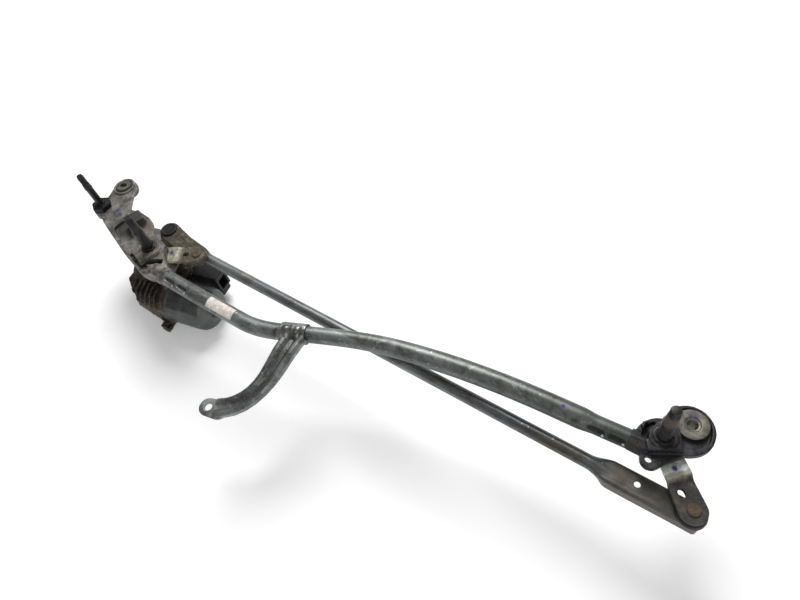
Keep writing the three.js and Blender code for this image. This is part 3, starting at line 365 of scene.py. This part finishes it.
LABEL = surface("printed_label", [(0.56, 0.49, 0.43), (0.72, 0.66, 0.6), (0.85, 0.8, 0.75)], 200, None, 0.0, (0.4, 0.6), 700, 0.1, 0.0001,
                dirt=((0.32, 0.26, 0.21), 0.12, 150), extra=label_extra)
NYLON = surface("nylon", [(0.6, 0.56, 0.46), (0.72, 0.68, 0.58), (0.8, 0.77, 0.68)], 120, None, 0.0, (0.35, 0.55), 500, 0.15, 0.0002)
FERRITE = surface("ferrite", [(0.03, 0.03, 0.032), (0.05, 0.05, 0.054), (0.08, 0.08, 0.085)], 220, None, 0.2, (0.55, 0.8), 700, 0.4, 0.0003)
COPPER = surface("copper", [(0.3, 0.12, 0.05), (0.5, 0.22, 0.1), (0.65, 0.34, 0.18)], 200, (0.2, 1, 1), 0.95, (0.25, 0.45), 700, 0.2, 0.0002)
BOARD = surface("board", [(0.01, 0.06, 0.03), (0.018, 0.09, 0.045), (0.03, 0.13, 0.07)], 200, None, 0.0, (0.3, 0.5), 700, 0.15, 0.0002)
CARBON = surface("carbon", [(0.01, 0.01, 0.011), (0.016, 0.016, 0.017), (0.03, 0.03, 0.032)], 260, None, 0.1, (0.5, 0.7), 800, 0.3, 0.0002)

# ---------------------------------------------------------------- mesh helpers, in drawing millimetres
def rings_to_mesh(rings, closed=False, caps=True):
    V, F, idx = [], [], []
    for ring in rings:
        idx.append((len(V), len(ring)))
        V.extend(ring)
    n = len(rings)
    for k in range(n if closed else n - 1):
        (a, na), (b, nb) = idx[k], idx[(k + 1) % n]
        if na == nb and na > 1:
            for i in range(na):
                j = (i + 1) % na
                F.append((a + i, a + j, b + j, b + i))
        elif na == 1 and nb > 1:
            for i in range(nb):
                F.append((a, b + (i + 1) % nb, b + i))
        elif nb == 1 and na > 1:
            for i in range(na):
                F.append((a + i, a + (i + 1) % na, b))
    if caps and not closed:
        for (a, na), rev in ((idx[0], True), (idx[-1], False)):
            if na > 2:
                f = list(range(a, a + na))
                F.append(tuple(f[::-1] if rev else f))
    return np.array(V, float), F


def circ(r, n, cx=0.0, cy=0.0):
    return [(cx + r * math.cos(2 * math.pi * i / n), cy + r * math.sin(2 * math.pi * i / n)) for i in range(n)]


def cyl(x, y, z0, z1, r, seg=48, r_top=None):
    r_top = r if r_top is None else r_top
    return rings_to_mesh([[(a, b, z0) for a, b in circ(r, seg, x, y)], [(a, b, z1) for a, b in circ(r_top, seg, x, y)]])


def rod(p, q, r, seg=48, r_end=None):
    r_end = r if r_end is None else r_end
    p, q = Vector(p), Vector(q)
    d = (q - p).normalized()
    s = d.orthogonal().normalized()
    t = d.cross(s)
    out = []
    for c, k in ((p, r), (q, r_end)):
        out.append([tuple(c + s * a + t * b) for a, b in circ(k, seg)])
    return rings_to_mesh(out)


def box(x0, x1, y0, y1, z0, z1):
    q = [(x0, y0), (x1, y0), (x1, y1), (x0, y1)]
    return rings_to_mesh([[(a, b, z0) for a, b in q], [(a, b, z1) for a, b in q]])


def turned_box(x, y, a, lx, ly, z0, z1):
    c, s = math.cos(a * DEG), math.sin(a * DEG)
    q = [(-lx / 2, -ly / 2), (lx / 2, -ly / 2), (lx / 2, ly / 2), (-lx / 2, ly / 2)]
    q = [(x + u * c - v * s, y + u * s + v * c) for u, v in q]
    return rings_to_mesh([[(u, v, z0) for u, v in q], [(u, v, z1) for u, v in q]])


def turned(profile, x=0.0, y=0.0, seg=72, rmod=None):
    prof = [tuple(p) for p in profile]
    closed = prof[0] == prof[-1]
    if closed:
        prof = prof[:-1]
    rings = []
    for r, z in prof:
        if r <= 1e-9:
            rings.append([(x, y, z)])
        else:
            row = []
            for i in range(seg):
                a = 2 * math.pi * i / seg
                k = r * (rmod(a, z) if rmod else 1)
                row.append((x + k * math.cos(a), y + k * math.sin(a), z))
            rings.append(row)
    return rings_to_mesh(rings, closed, caps=not closed)


def corners(points, r, n=6):
    out, m = [], len(points)
    for i in range(m):
        p = np.array(points[i], float)
        a, b = np.array(points[i - 1], float) - p, np.array(points[(i + 1) % m], float) - p
        la, lb = np.linalg.norm(a), np.linalg.norm(b)
        k = min(r, la * 0.45, lb * 0.45)
        if k <= 0:
            out.append(tuple(p))
            continue
        u, v = p + a / la * k, p + b / lb * k
        for j in range(n + 1):
            t = j / n
            out.append(tuple((1 - t) ** 2 * u + 2 * t * (1 - t) * p + t * t * v))
    return out


def plate(points, z0, z1, r=0.0, n=6):
    q = corners(points, r, n) if r else [tuple(p) for p in points]
    return rings_to_mesh([[(a, b, z0) for a, b in q], [(a, b, z1) for a, b in q]])


def slot_outline(p, q, r0, r1, seg=20):
    a = math.atan2(q[1] - p[1], q[0] - p[0])
    L = math.hypot(q[0] - p[0], q[1] - p[1])
    t = math.acos((r0 - r1) / L)
    pts = []
    for i in range(seg + 1):
        w = a + t + (2 * math.pi - 2 * t) * i / seg
        pts.append((p[0] + r0 * math.cos(w), p[1] + r0 * math.sin(w)))
    for i in range(seg + 1):
        w = a - t + 2 * t * i / seg
        pts.append((q[0] + r1 * math.cos(w), q[1] + r1 * math.sin(w)))
    return pts


def slot_bar(p, q, r0, r1, z0, z1, seg=20):
    return plate(slot_outline(p, q, r0, r1, seg), z0, z1)


def sweep(section, steps, station, bend=None):
    rings = []
    for k in range(steps + 1):
        t = k / steps
        c, side, upv = station(t)
        row = []
        for x, y in section:
            if bend:
                x, y = bend(x, y, t)
            row.append(tuple(c[i] + side[i] * x + upv[i] * y for i in range(3)))
        rings.append(row)
    return rings_to_mesh(rings)


def smooth(a, b, x):
    t = min(1.0, max(0.0, (x - a) / (b - a)))
    return t * t * (3 - 2 * t)


def along(p, a, l):
    return (p[0] + l * math.cos(a * DEG), p[1] + l * math.sin(a * DEG))


class Curve:
    """Centripetal Catmull-Rom line through points, read by its length."""

    def __init__(self, pts, n=600):
        P = [np.array(p, float) for p in pts]
        P = [2 * P[0] - P[1]] + P + [2 * P[-1] - P[-2]]
        out = []
        segs = len(P) - 3
        for k in range(segs):
            p0, p1, p2, p3 = P[k:k + 4]
            t0 = 0.0
            t1 = t0 + np.linalg.norm(p1 - p0) ** 0.5
            t2 = t1 + np.linalg.norm(p2 - p1) ** 0.5
            t3 = t2 + np.linalg.norm(p3 - p2) ** 0.5
            for j in range(n // segs + 1):
                t = t1 + (t2 - t1) * j / (n // segs + 1)
                a1 = (t1 - t) / (t1 - t0) * p0 + (t - t0) / (t1 - t0) * p1
                a2 = (t2 - t) / (t2 - t1) * p1 + (t - t1) / (t2 - t1) * p2
                a3 = (t3 - t) / (t3 - t2) * p2 + (t - t2) / (t3 - t2) * p3
                b1 = (t2 - t) / (t2 - t0) * a1 + (t - t0) / (t2 - t0) * a2
                b2 = (t3 - t) / (t3 - t1) * a2 + (t - t1) / (t3 - t1) * a3
                out.append((t2 - t) / (t2 - t1) * b1 + (t - t1) / (t2 - t1) * b2)
        out.append(P[-2])
        self.p = np.array(out)
        self.s = np.concatenate([[0], np.cumsum(np.linalg.norm(np.diff(self.p, axis=0), axis=1))])
        self.length = self.s[-1]

    def at(self, t):
        return np.array([np.interp(t * self.length, self.s, self.p[:, i]) for i in range(3)])

    def tangent(self, t):
        d = self.at(min(1, t + 0.004)) - self.at(max(0, t - 0.004))
        return d / np.linalg.norm(d)


MOTOR_P, MOTOR_Z, TURN = (-720, -24), -4, 12


def place(V, group):
    V = np.array(V, float).copy()
    if group == "motor":
        c, s = math.cos(TURN * DEG), math.sin(TURN * DEG)
        V = np.stack([MOTOR_P[0] + c * V[:, 0] - s * V[:, 1], MOTOR_P[1] + s * V[:, 0] + c * V[:, 1], V[:, 2] + MOTOR_Z], 1)
    elif isinstance(group, tuple):
        x, y, z, a = group
        c, s = math.cos(a * DEG), math.sin(a * DEG)
        V = np.stack([x + c * V[:, 0] - s * V[:, 1], y + s * V[:, 0] + c * V[:, 1], V[:, 2] + z], 1)
    return (V + np.array([28, -64, -2.0])) / 1000


def new_object(name, solid, group=None):
    V, F = solid
    me = bpy.data.meshes.new(name)
    me.from_pydata([tuple(v) for v in place(V, group)], [], [tuple(f) for f in F])
    bm = bmesh.new()
    bm.from_mesh(me)
    bmesh.ops.remove_doubles(bm, verts=bm.verts, dist=1e-7)
    bmesh.ops.recalc_face_normals(bm, faces=bm.faces)
    bm.to_mesh(me)
    bm.free()
    o = bpy.data.objects.new(name, me)
    scene.collection.objects.link(o)
    return o


def freeze(o):
    dg = bpy.context.evaluated_depsgraph_get()
    me = bpy.data.meshes.new_from_object(o.evaluated_get(dg))
    o.modifiers.clear()
    old = o.data
    o.data = me
    bpy.data.meshes.remove(old)
    return o


def carve(name, pos, neg=(), group=None, keep=None):
    """The union of pos, less neg, within keep."""
    o = new_object(name, pos[0], group)
    tools = []
    for op, group_list in (("UNION", pos[1:]), ("INTERSECT", [keep] if keep else []), ("DIFFERENCE", neg)):
        for s in group_list:
            t = new_object("tool", s, group)
            tools.append(t)
            b = o.modifiers.new("b", "BOOLEAN")
            b.operation, b.object, b.solver = op, t, "EXACT"
    if tools:
        freeze(o)
    for t in tools:
        me = t.data
        bpy.data.objects.remove(t)
        bpy.data.meshes.remove(me)
    return o


def soften(o, voxel, rounds=3, factor=0.5, grime=None):
    """Even skin with rounded edges, as on a casting or a pressing."""
    r = o.modifiers.new("r", "REMESH")
    r.mode, r.voxel_size, r.use_smooth_shade = "VOXEL", voxel / 1000, True
    s = o.modifiers.new("s", "SMOOTH")
    s.factor, s.iterations = factor, rounds
    if grime:
        tex = bpy.data.textures.new("grime", "CLOUDS")
        tex.noise_scale, tex.noise_depth = grime[1] / 1000, 3
        d = o.modifiers.new("d", "DISPLACE")
        d.texture, d.strength, d.mid_level, d.texture_coords = tex, grime[0] / 1000, 0.55, "LOCAL"
    freeze(o)
    for p in o.data.polygons:
        p.use_smooth = True
    return o


def rounded(o, width=0.3, angle=35):
    b = o.modifiers.new("bevel", "BEVEL")
    b.width, b.segments, b.limit_method, b.angle_limit = width / 1000, 2, "ANGLE", angle * DEG
    freeze(o)
    for p in o.data.polygons:
        p.use_smooth = True
    w = o.modifiers.new("normals", "WEIGHTED_NORMAL")
    w.keep_sharp = True
    freeze(o)
    return o


def done(o, body, mat, slot, *nodes):
    o.data.materials.clear()
    o.data.materials.append(mat)
    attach(o, body)
    if nodes:
        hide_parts(*nodes)
    return o


# ---------------------------------------------------------------- frame tube
TUBE_R, WALL, TUBE_Z = 11, 1.5, 20
PATH = [(-617, -59.8), (-583, -60.3), (-555, -60.2), (-525, -60), (-497, -59.8), (-478, -59.2), (-462, -56.6), (-446, -51.8), (-423, -42.5),
        (-393, -29.8), (-361, -17), (-335, -8.2), (-308, -1), (-270, 6.6), (-241, 11.6), (-198, 17.2), (-157, 20.7), (-117, 22.9), (-96, 24.1), (-71, 25.8)]
tube_curve = Curve([(x, y, TUBE_Z) for x, y in PATH])


def tube_k(t):
    return 0.885 - 0.03 * smooth(0.28, 0.4, t) + 0.12 * smooth(0.45, 0.68, t) - 0.13 * smooth(0.92, 0.95, t)


def tube_at(t):
    c, d = tube_curve.at(t), tube_curve.tangent(t)
    return tuple(c), (-d[1], d[0], 0.0), (0, 0, 1), d


def tube_piece():
    n, steps = 144, 320
    L = tube_curve.length
    dents = [(0.022, 0.55), (0.062, 0.55), (0.951, 1.0), (0.985, 1.0)]

    def ring_at(t, inner):
        c, side, upv, d = tube_at(t)
        c = [c[k] + d[k] * (1.5 if t == 1 else -1.2 if t == 0 else 0) for k in range(3)]
        row = []
        for i in range(n):
            a = 2 * math.pi * i / n
            r = (TUBE_R - (WALL if inner else 0)) * tube_k(t)
            roll = math.atan2(-math.cos(a), math.sin(a))
            dent = 0.0
            for dt, dr in dents:
                u = abs((t - dt) * L) / 9.0
                w = abs((roll - dr + math.pi) % (2 * math.pi) - math.pi) * TUBE_R * tube_k(t) / 3.0
                if u < 1.3 and w < 1.3:
                    w /= max(0.25, math.sqrt(max(0, 1 - (u / 1.3) ** 2)))
                    dent = max(dent, 2.1 * (1 - smooth(0.7, 1.25, u)) * (1 - smooth(0.55, 1.1, w)))
            # the wall is pushed in too, and stays 0.4 mm thick at its thinnest
            r -= max(0.0, dent - 1.0) if inner else dent
            row.append(tuple(c[k] + side[k] * r * math.cos(a) + upv[k] * r * math.sin(a) for k in range(3)))
        return row

    ts = [k / steps for k in range(steps + 1)]
    dense = sorted(set(ts + [dt + j * 0.0015 for dt, _ in dents for j in range(-12, 13) if 0 < dt + j * 0.0015 < 1]))
    rings = [ring_at(t, False) for t in dense] + [ring_at(t, True) for t in reversed(dense)]
    o = new_object("tube_skin", rings_to_mesh(rings, True))
    for p in o.data.polygons:
        p.use_smooth = True
    o.data.set_sharp_from_angle(angle=60 * DEG)
    return o


DENTS = [(0.022, 0.55), (0.062, 0.55), (0.951, 1.0), (0.985, 1.0)]


def dent_point(t, roll, lift):
    c, side, upv, d = tube_at(t)
    rr = TUBE_R * tube_k(t) + lift
    return M(*[c[k] - side[k] * rr * math.sin(roll) + upv[k] * rr * math.cos(roll) for k in range(3)])


def tube_tone_and_dent_light(m, col):
    # painted shade darkens the inside of the crimps, and a painted highlight glints at the end of each
    col = tube_extra(m, col)
    for t, roll in DENTS:
        for o in (-0.0095, -0.003, 0.0035, 0.0095):
            col = m.mix(m.math("MULTIPLY", m.spot(dent_point(t + o, roll - 0.06, -1.0), 0.0026, 0.45), 0.85 if t > 0.5 else 0.5), col, (0.014, 0.014, 0.013))
        # painted highlight: a glint at the end of the crimp
        col = m.mix(m.math("MULTIPLY", m.spot(dent_point(t + 0.0125, roll + 0.34, -0.2), 0.0012, 0.4), 0.9), col, (0.72, 0.73, 0.72))
    return col


GALV_TUBE = surface("galvanised_tube", [(0.07, 0.078, 0.075), (0.128, 0.14, 0.134), (0.25, 0.268, 0.258)], 42, (0.5, 1, 1), 0.74, (0.33, 0.54), 420, 0.35, 0.0003,
                    dirt=((0.07, 0.066, 0.056), 0.26, 55), speck=((0.4, 0.415, 0.41), 240, 0.63), crevice_shade=((0.02, 0.02, 0.018), 0.85), extra=tube_tone_and_dent_light)
done(tube_piece(), "frame", GALV_TUBE, "galvanised_steel", "frame_tube")

# label
sec = [((TUBE_R * 0.885 + 0.5) * math.sin(-0.95 + i * 1.45 / 16), (TUBE_R * 0.885 + 0.5) * math.cos(-0.95 + i * 1.45 / 16)) for i in range(17)]
sec += [((TUBE_R * 0.885 + 0.22) * math.sin(-0.95 + i * 1.45 / 16), (TUBE_R * 0.885 + 0.22) * math.cos(-0.95 + i * 1.45 / 16)) for i in range(16, -1, -1)]
lab = new_object("label_film", sweep(sec, 24, lambda t: tube_at(0.142 + 0.075 * t)[:3]))
done(rounded(lab, 0.08, 50), "frame", LABEL, "label", "identification_label")

LEFT_P, RIGHT_P, IDLE_P, EAR, SLV = (-667, -41), (-45.5, 37), (-800, -19), (-804, 23.5), (-28, 64)


def soft_copy(name, node, voxel, rounds=3, factor=0.5, grime=None):
    """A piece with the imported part's shape, its edges rounded over as on a casting or a pressing."""
    src = NODES[node]
    me = src.data.copy()
    me.transform(src.matrix_world)
    me.materials.clear()
    bm = bmesh.new()
    bm.from_mesh(me)
    bmesh.ops.remove_doubles(bm, verts=bm.verts, dist=1e-6)
    bm.to_mesh(me)
    bm.free()
    me.name = name
    o = bpy.data.objects.new(name, me)
    scene.collection.objects.link(o)
    return soften(o, voxel, rounds, factor, grime)


# ---------------------------------------------------------------- castings and pressings
for name, node, voxel, rounds, grime, body, mat, slot in (
    ("bracket_casting", "motor_bracket", 0.7, 3, (0.35, 5), "frame", CAST, "cast_aluminium"),
    ("bearing_casting", "right_bearing_bracket", 0.6, 3, (0.2, 4), "frame", DARK, "dark_casting"),
    ("foot_pressing", "support_foot", 0.45, 2, None, "frame", GALV_FOOT, "galvanised_steel"),
    ("gear_case", "gear_housing", 0.65, 2, (1.5, 4.5), "frame", HOUSING, "motor_casting"),
    ("gear_cover_moulding", "gear_cover", 0.6, 2, None, "frame", PLASTIC, "black_plastic"),
    ("idler_hex_collar", "idler_spindle_collar", 0.4, 2, None, "frame", PLASTIC, "black_plastic"),
    ("left_lever_sheet", "left_lever", 0.4, 3, (0.6, 2.6), "left_spindle_set", LEVER_L, "lever_steel"),
    ("right_lever_sheet", "right_lever", 0.4, 3, None, "right_spindle_set", LEVER_R, "lever_steel"),
    ("drive_link_bar", "drive_link", 0.4, 2, (1.0, 2.6), "drive_link_set", GRIME, "dirty_steel"),
    ("crank_plate", "crank_arm", 0.45, 2, None, "crank", BLACK, "black_steel"),
):
    done(soft_copy(name, node, voxel, rounds, 0.5, grime), body, mat, slot, node)

# the square block at the foot of the left spindle, with the slot in its front wall
BLOCK = surface("block_casting", [(0.085, 0.078, 0.064), (0.16, 0.15, 0.128), (0.27, 0.256, 0.225)], 70, None, 0.3, (0.45, 0.7), 520, 0.45, 0.0004,
                dirt=((0.04, 0.034, 0.026), 0.4, 90), crevice_shade=((0.012, 0.011, 0.009), 0.6))
bc = (-668, -48)
o = carve("spindle_block", [turned_box(*bc, -17, 29, 27, 27, 33.4)], [
    cyl(*LEFT_P, 20, 40, 9.2), turned_box(bc[0] - 3.9, bc[1] - 12.6, -17, 21, 6, 28.4, 31.8)])
done(soften(o, 0.45, 3, 0.5, (0.3, 4)), "frame", BLOCK, "cast_aluminium")

# the foot's two ribs run on over the tube
tc, td = tube_curve.at(0.357), tube_curve.tangent(0.357)
lie = math.atan2(td[1], td[0])
RT = TUBE_R * max(tube_k(0.33), tube_k(0.385)) + 1.4


def wrap(off, half, tall):
    rings = []
    for k in range(57):
        t = k / 56
        w = (-30 + 150 * t) * DEG
        fade = smooth(0, 0.12, t) * (1 - smooth(0.72, 1, t))
        row = []
        for i in range(17):
            f = i / 16
            u, h = -half + 2 * half * f, 0.2 + (tall * fade + 0.75) * math.sin(math.pi * f) ** 0.8
            rr = RT + h
            row.append((tc[0] + math.cos(lie) * (off + u) + math.sin(lie) * rr * math.cos(w), tc[1] + math.sin(lie) * (off + u) - math.cos(lie) * rr * math.cos(w), TUBE_Z + rr * math.sin(w)))
        rings.append(row)
    return rings_to_mesh(rings)


for name, off, half, tall in (("foot_rib_wide", -6.6, 6.6, 3.0), ("foot_rib_narrow", 6.8, 5.0, 2.6)):
    o = new_object(name, wrap(off, half, tall))
    for p in o.data.polygons:
        p.use_smooth = True
    o.data.set_sharp_from_angle(angle=60 * DEG)
    done(o, "frame", GALV_FOOT, "galvanised_steel")

# ---------------------------------------------------------------- sleeves and grommets
x, y = SLV
o = new_object("right_grommet_ring", turned([(7, 6), (13, 6), (13, 18.2), (10.6, 18.2), (10.6, 22.4), (13.2, 22.4), (13.2, 25), (7, 25), (7, 6)], x, y, 96))
done(rounded(o, 0.4), "frame", RUBBER, "rubber", "right_mount_grommet")
o = new_object("right_sleeve_flanged", turned([(4.6, 2), (6.6, 2), (6.6, 25.4), (14.5, 25.4), (14.5, 26.5), (14.1, 26.9), (13.2, 27), (8.2, 26.9), (7.3, 26.6), (6.9, 25.9), (6.2, 25.5), (5.2, 25.4), (4.6, 24.8), (4.6, 2)], x, y, 96))
done(rounded(o, 0.15), "frame", SLEEVE, "sleeve_steel", "right_mount_sleeve")
x, y = EAR
o = new_object("left_grommet_ring", turned([(7.6, 9), (12, 9), (12, 24), (11.6, 24.6), (10.8, 24.9), (7.6, 24.9), (7.6, 9)], x, y, 96))
done(rounded(o, 0.3), "frame", RUBBER, "rubber", "left_mount_grommet")
o = carve("left_sleeve_slotted", [turned([(0, 8), (7.2, 8), (7.2, 25.2), (10, 25.2), (10, 26), (9.6, 26.4), (5.6, 26.4), (0, 26.4)], x, y, 96)],
          [slot_bar((x - 1.6, y - 0.6), (x + 1.6, y + 0.6), 3.6, 3.6, 6, 34)])
done(rounded(o, 0.2), "frame", SLEEVE, "sleeve_steel", "left_mount_sleeve")


# ---------------------------------------------------------------- spindles
def thread(r, z0, z1, pitch=1.25, d=0.38):
    out, z = [], z0
    while z + pitch <= z1:
        out += [(r - d, z + 0.1), (r, z + pitch * 0.42), (r, z + pitch * 0.58), (r - d, z + pitch * 0.9)]
        z += pitch
    return out


def knurl(lo, hi, teeth):
    def f(a, z):
        if lo < z < hi:
            return 1 - 0.035 * abs(((a * teeth / math.pi) % 2) - 1)
        return 1
    return f


for side, (x, y) in (("left", LEFT_P), ("right", RIGHT_P)):
    prof = [(0, 10.6), (4.5, 10.6), (4.9, 11), (4.9, 17.7), (6.5, 18.1), (6.5, 35.2), (5.9, 35.2), (5.9, 36.6), (6.5, 36.6), (6.5, 56), (6.9, 56.5), (6.9, 63),
            (6.6, 63.4), (6.0, 65.8), (5.95, 66.1), (5.25, 76.6), (5.0, 76.9), (4.3, 77.5), (4.45, 78.3)] + thread(4.85, 78.4, 86.0) + [(4.45, 86.3), (4.2, 86.9), (3.9, 87), (0, 87)]
    o = new_object(side + "_shaft", turned(prof, x, y, 160, knurl(66, 76.7, 40)))
    for p in o.data.polygons:
        p.use_smooth = True
    o.data.set_sharp_from_angle(angle=32 * DEG)
    done(o, side + "_spindle_set", SPINDLE if side == "right" else SPINDLE_DARK, "black_steel", side + "_spindle")
x, y = IDLE_P
prof = [(0, 9.4), (6.4, 9.4), (6.8, 9.8), (6.8, 11.4), (4.7, 11.6), (4.7, 32.2), (4.2, 32.2), (4.2, 33.6), (4.7, 33.6), (4.7, 58), (5.3, 60), (5.2, 60.8), (4.6, 67.8), (3.9, 68.6)]
prof += thread(4.3, 69, 81) + [(3.9, 81.3), (3.5, 82), (0, 82)]
o = new_object("idler_shaft", turned(prof, x, y, 120, knurl(60.5, 67.9, 34)))
for p in o.data.polygons:
    p.use_smooth = True
o.data.set_sharp_from_angle(angle=32 * DEG)
done(o, "idler_spindle_set", SPINDLE_DARK, "black_steel", "idler_spindle")

# ---------------------------------------------------------------- levers
PA, PB, PC = along(LEFT_P, ALA, 57), along(RIGHT_P, ARA, 60), (-690, 1.5)
o = new_object("left_rivet", turned([(0, 4.7), (4.6, 4.7), (5, 5.2), (5, 10.4), (6.4, 10.6), (6.4, 11.7), (4, 11.7), (4, 16.3), (6.1, 16.3), (6.2, 16.8), (5.6, 17.5), (3.4, 18), (2.6, 17.7), (0, 17.5)], *PA, 64))
done(rounded(o, 0.2), "left_spindle_set", RUST, "rusty_steel", "left_lever_pin")
o = new_object("right_rivet", turned([(0, -8.6), (4.6, -8.6), (5, -8), (5, 8.1), (4, 8.1), (4, 12.7), (6.1, 12.7), (6.2, 13.2), (5.6, 13.9), (3.4, 14.4), (2.6, 14.1), (0, 13.9)], *PB, 64))
done(rounded(o, 0.2), "right_spindle_set", RUST, "rusty_steel", "right_lever_pin")

# ---------------------------------------------------------------- long link rod
ROD_R, ROD_WALL = 7, 1.6
ROD_L = math.hypot(PB[0] - PC[0], PB[1] - PC[1])
ROD_A = math.atan2(PB[1] - PC[1], PB[0] - PC[0]) / DEG


def tube_point(f, k):
    a, r = (268 - f * 356) * DEG, ROD_R - k * ROD_WALL
    return r * math.cos(a), r * math.sin(a)


def channel_point(f, k, w, top, low, cr):
    h = top - low
    straight, flat, corner = h - cr, 2 * w - 2 * cr, math.pi / 2 * cr
    s, d = f * (2 * straight + flat + 2 * corner), k * ROD_WALL
    if s <= straight:
        return -w + d, low + s
    s -= straight
    if s <= corner:
        a = math.pi - s / cr
        return -w + cr + (cr - d) * math.cos(a), top - cr + (cr - d) * math.sin(a)
    s -= corner
    if s <= flat:
        return -w + cr + s, top - d
    s -= flat
    if s <= corner:
        a = math.pi / 2 - s / cr
        return w - cr + (cr - d) * math.cos(a), top - cr + (cr - d) * math.sin(a)
    s -= corner
    return w - d, top - cr - s


NR = 60
strip = [(i / NR, 0) for i in range(NR + 1)] + [(i / NR, 1) for i in range(NR, -1, -1)]
xs = list(np.linspace(-13, 50, 22)) + list(np.linspace(53, 84, 22)) + list(np.linspace(100, ROD_L - 110, 60)) + list(np.linspace(ROD_L - 100, ROD_L - 60, 26)) + list(np.linspace(ROD_L - 57, ROD_L + 14.5, 24))


def rod_station(t):
    xx = xs[int(round(t * (len(xs) - 1)))]
    return (xx, -4.5 * smooth(15, 70, xx) * (1 - xx / ROD_L), 0), (0, 1, 0), (0, 0, 1)


def rod_bend(f, k, t):
    xx = xs[int(round(t * (len(xs) - 1)))]
    mr, ml = smooth(ROD_L - 93, ROD_L - 70, xx), 1 - smooth(58, 77, xx)
    ax, ay = tube_point(f, k)
    low = -9 + 1.5 * smooth(ROD_L - 60, ROD_L, xx)
    bx, by = channel_point(f, k, 11.8, 5, low, 3) if mr > 0 else channel_point(f, k, 10.4, 5, -7, 3)
    m = max(mr, ml)
    return ax + (bx - ax) * m, ay + (by - ay) * m


keep = slot_bar((0, 0), (ROD_L, 0), 12, 14, -20, 20, 40)
o = carve("rod_rolled", [sweep(strip, len(xs) - 1, rod_station, rod_bend)], [cyl(0, 0, -20, 20, 8.4), cyl(ROD_L, 0, -20, 20, 9.6), cyl(ROD_L - 47, 0.5, -2, 20, 2.9)], (PC[0], PC[1], -3, ROD_A), keep)
done(rounded(o, 0.3, 40), "link_rod_set", GALV_ROD, "galvanised_steel", "link_rod")
o = new_object("rod_bush_left", turned([(0, -9.4), (8.1, -9.4), (8.1, 2), (7, 2.35), (0, 2.35)], *PC, 64))
done(rounded(o, 0.2), "link_rod_set", PLASTIC, "black_plastic", "link_rod_left_bush")
o = new_object("rod_boot_right", turned([(0, -11.6), (8, -11.6), (9.1, -10.4), (9.1, 2.3), (13.4, 2.3), (13.6, 2.8), (13.6, 4.2), (12.8, 6.2), (12.3, 6.4), (11.4, 8), (5.3, 8), (5.3, -9), (0, -9)], *PB, 72))
done(rounded(o, 0.3), "link_rod_set", PLASTIC, "black_plastic", "link_rod_right_bush")

# ---------------------------------------------------------------- drive link
o = new_object("socket_cap", turned([(5.4, 3), (8.2, 3), (8.2, 11.3), (11.2, 11.3), (11.2, 12.8), (10.7, 13.4), (10, 13.6), (8.6, 13.6), (8.3, 13.1), (6.2, 13.1), (5.9, 13.5), (0, 13.6), (0, 9), (5.4, 9), (5.4, 3)][:-1] + [(5.4, 3)], *PC, 144,
                               lambda a, z: 1 - (0.085 * (1 if math.sin(a * 18) > 0 else 0) if 11 < z < 13.3 else 0)))
for p in o.data.polygons:
    p.use_smooth = True
o.data.set_sharp_from_angle(angle=35 * DEG)
done(o, "drive_link_set", PLASTIC, "black_plastic", "drive_link_socket")

# ---------------------------------------------------------------- motor case
yoke = [(31.8, 20.8), (31.8, 22.2), (31.4, 22.6), (30.4, 23), (30, 23.6), (30, 69.2), (29.8, 71.5), (28.8, 75.2), (27.6, 77.6), (25.6, 79.2), (23, 80.4), (20, 81.2), (14, 82), (10, 82.2),
        (9.4, 82.8), (9.1, 86), (8.7, 87.2), (7.6, 88.2), (5, 88.4), (0, 88.4)]
src = NODES["yoke"]
yo = soft_copy("motor_case", "yoke", 0.55, 6, 0.5)
done(yo, "frame", YOKE, "yoke_steel", "yoke")

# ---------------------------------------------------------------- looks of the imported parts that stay
LOOK = {
    "galvanised_steel": GALV, "cast_aluminium": CAST, "dark_casting": DARK, "rubber": RUBBER, "sleeve_steel": SLEEVE, "bearing_bronze": BRONZE,
    "black_plastic": PLASTIC, "motor_casting": HOUSING, "yoke_steel": YOKE, "ferrite": FERRITE, "copper": COPPER, "carbon": CARBON, "board": BOARD,
    "nylon": NYLON, "lever_steel": LEVER_R, "dirty_steel": GRIME, "black_steel": BLACK, "rusty_steel": RUST, "label": LABEL,
}
KINDS = (("brush_holder", "black_plastic"), ("brush_", "carbon"), ("magnet", "ferrite"), ("circuit_board", "board"), ("commutator", "copper"), ("worm_wheel", "nylon"),
         ("grommet", "rubber"), ("seal", "rubber"), ("bush", "bearing_bronze"), ("bearing", "bearing_bronze"), ("screw", "black_steel"))
for node, o in NODES.items():
    kind = next((k for w, k in KINDS if w in node), "black_steel")
    o.data.materials.clear()
    o.data.materials.append(LOOK[kind])
    for p in o.data.polygons:
        p.use_smooth = True
    w = o.modifiers.new("weld", "WELD")
    w.merge_threshold = 1e-6
    b = o.modifiers.new("bevel", "BEVEL")
    b.width, b.segments, b.limit_method, b.angle_limit = 0.0002, 2, "ANGLE", 40 * DEG
    b.harden_normals = True

# ---------------------------------------------------------------- floor
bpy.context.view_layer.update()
bm = bmesh.new()
for v in ((-6, -6), (6, -6), (6, 6), (-6, 6)):
    bm.verts.new((v[0], v[1], 0))
bm.faces.new(bm.verts)
me = bpy.data.meshes.new("floor")
bm.to_mesh(me)
bm.free()
floor = bpy.data.objects.new("floor", me)
scene.collection.objects.link(floor)
floor.location = (0, 0, cad_low.z - 0.0005)
fm = Mat("pale_floor")
fm.b.inputs["Base Color"].default_value = (0.93, 0.93, 0.93, 1)
fm.b.inputs["Roughness"].default_value = 0.9
fm.b.inputs["Specular IOR Level"].default_value = 0.0
fm.b.inputs["Emission Color"].default_value = (1, 1, 1, 1)
fm.b.inputs["Emission Strength"].default_value = 0.16
me.materials.append(fm.m)
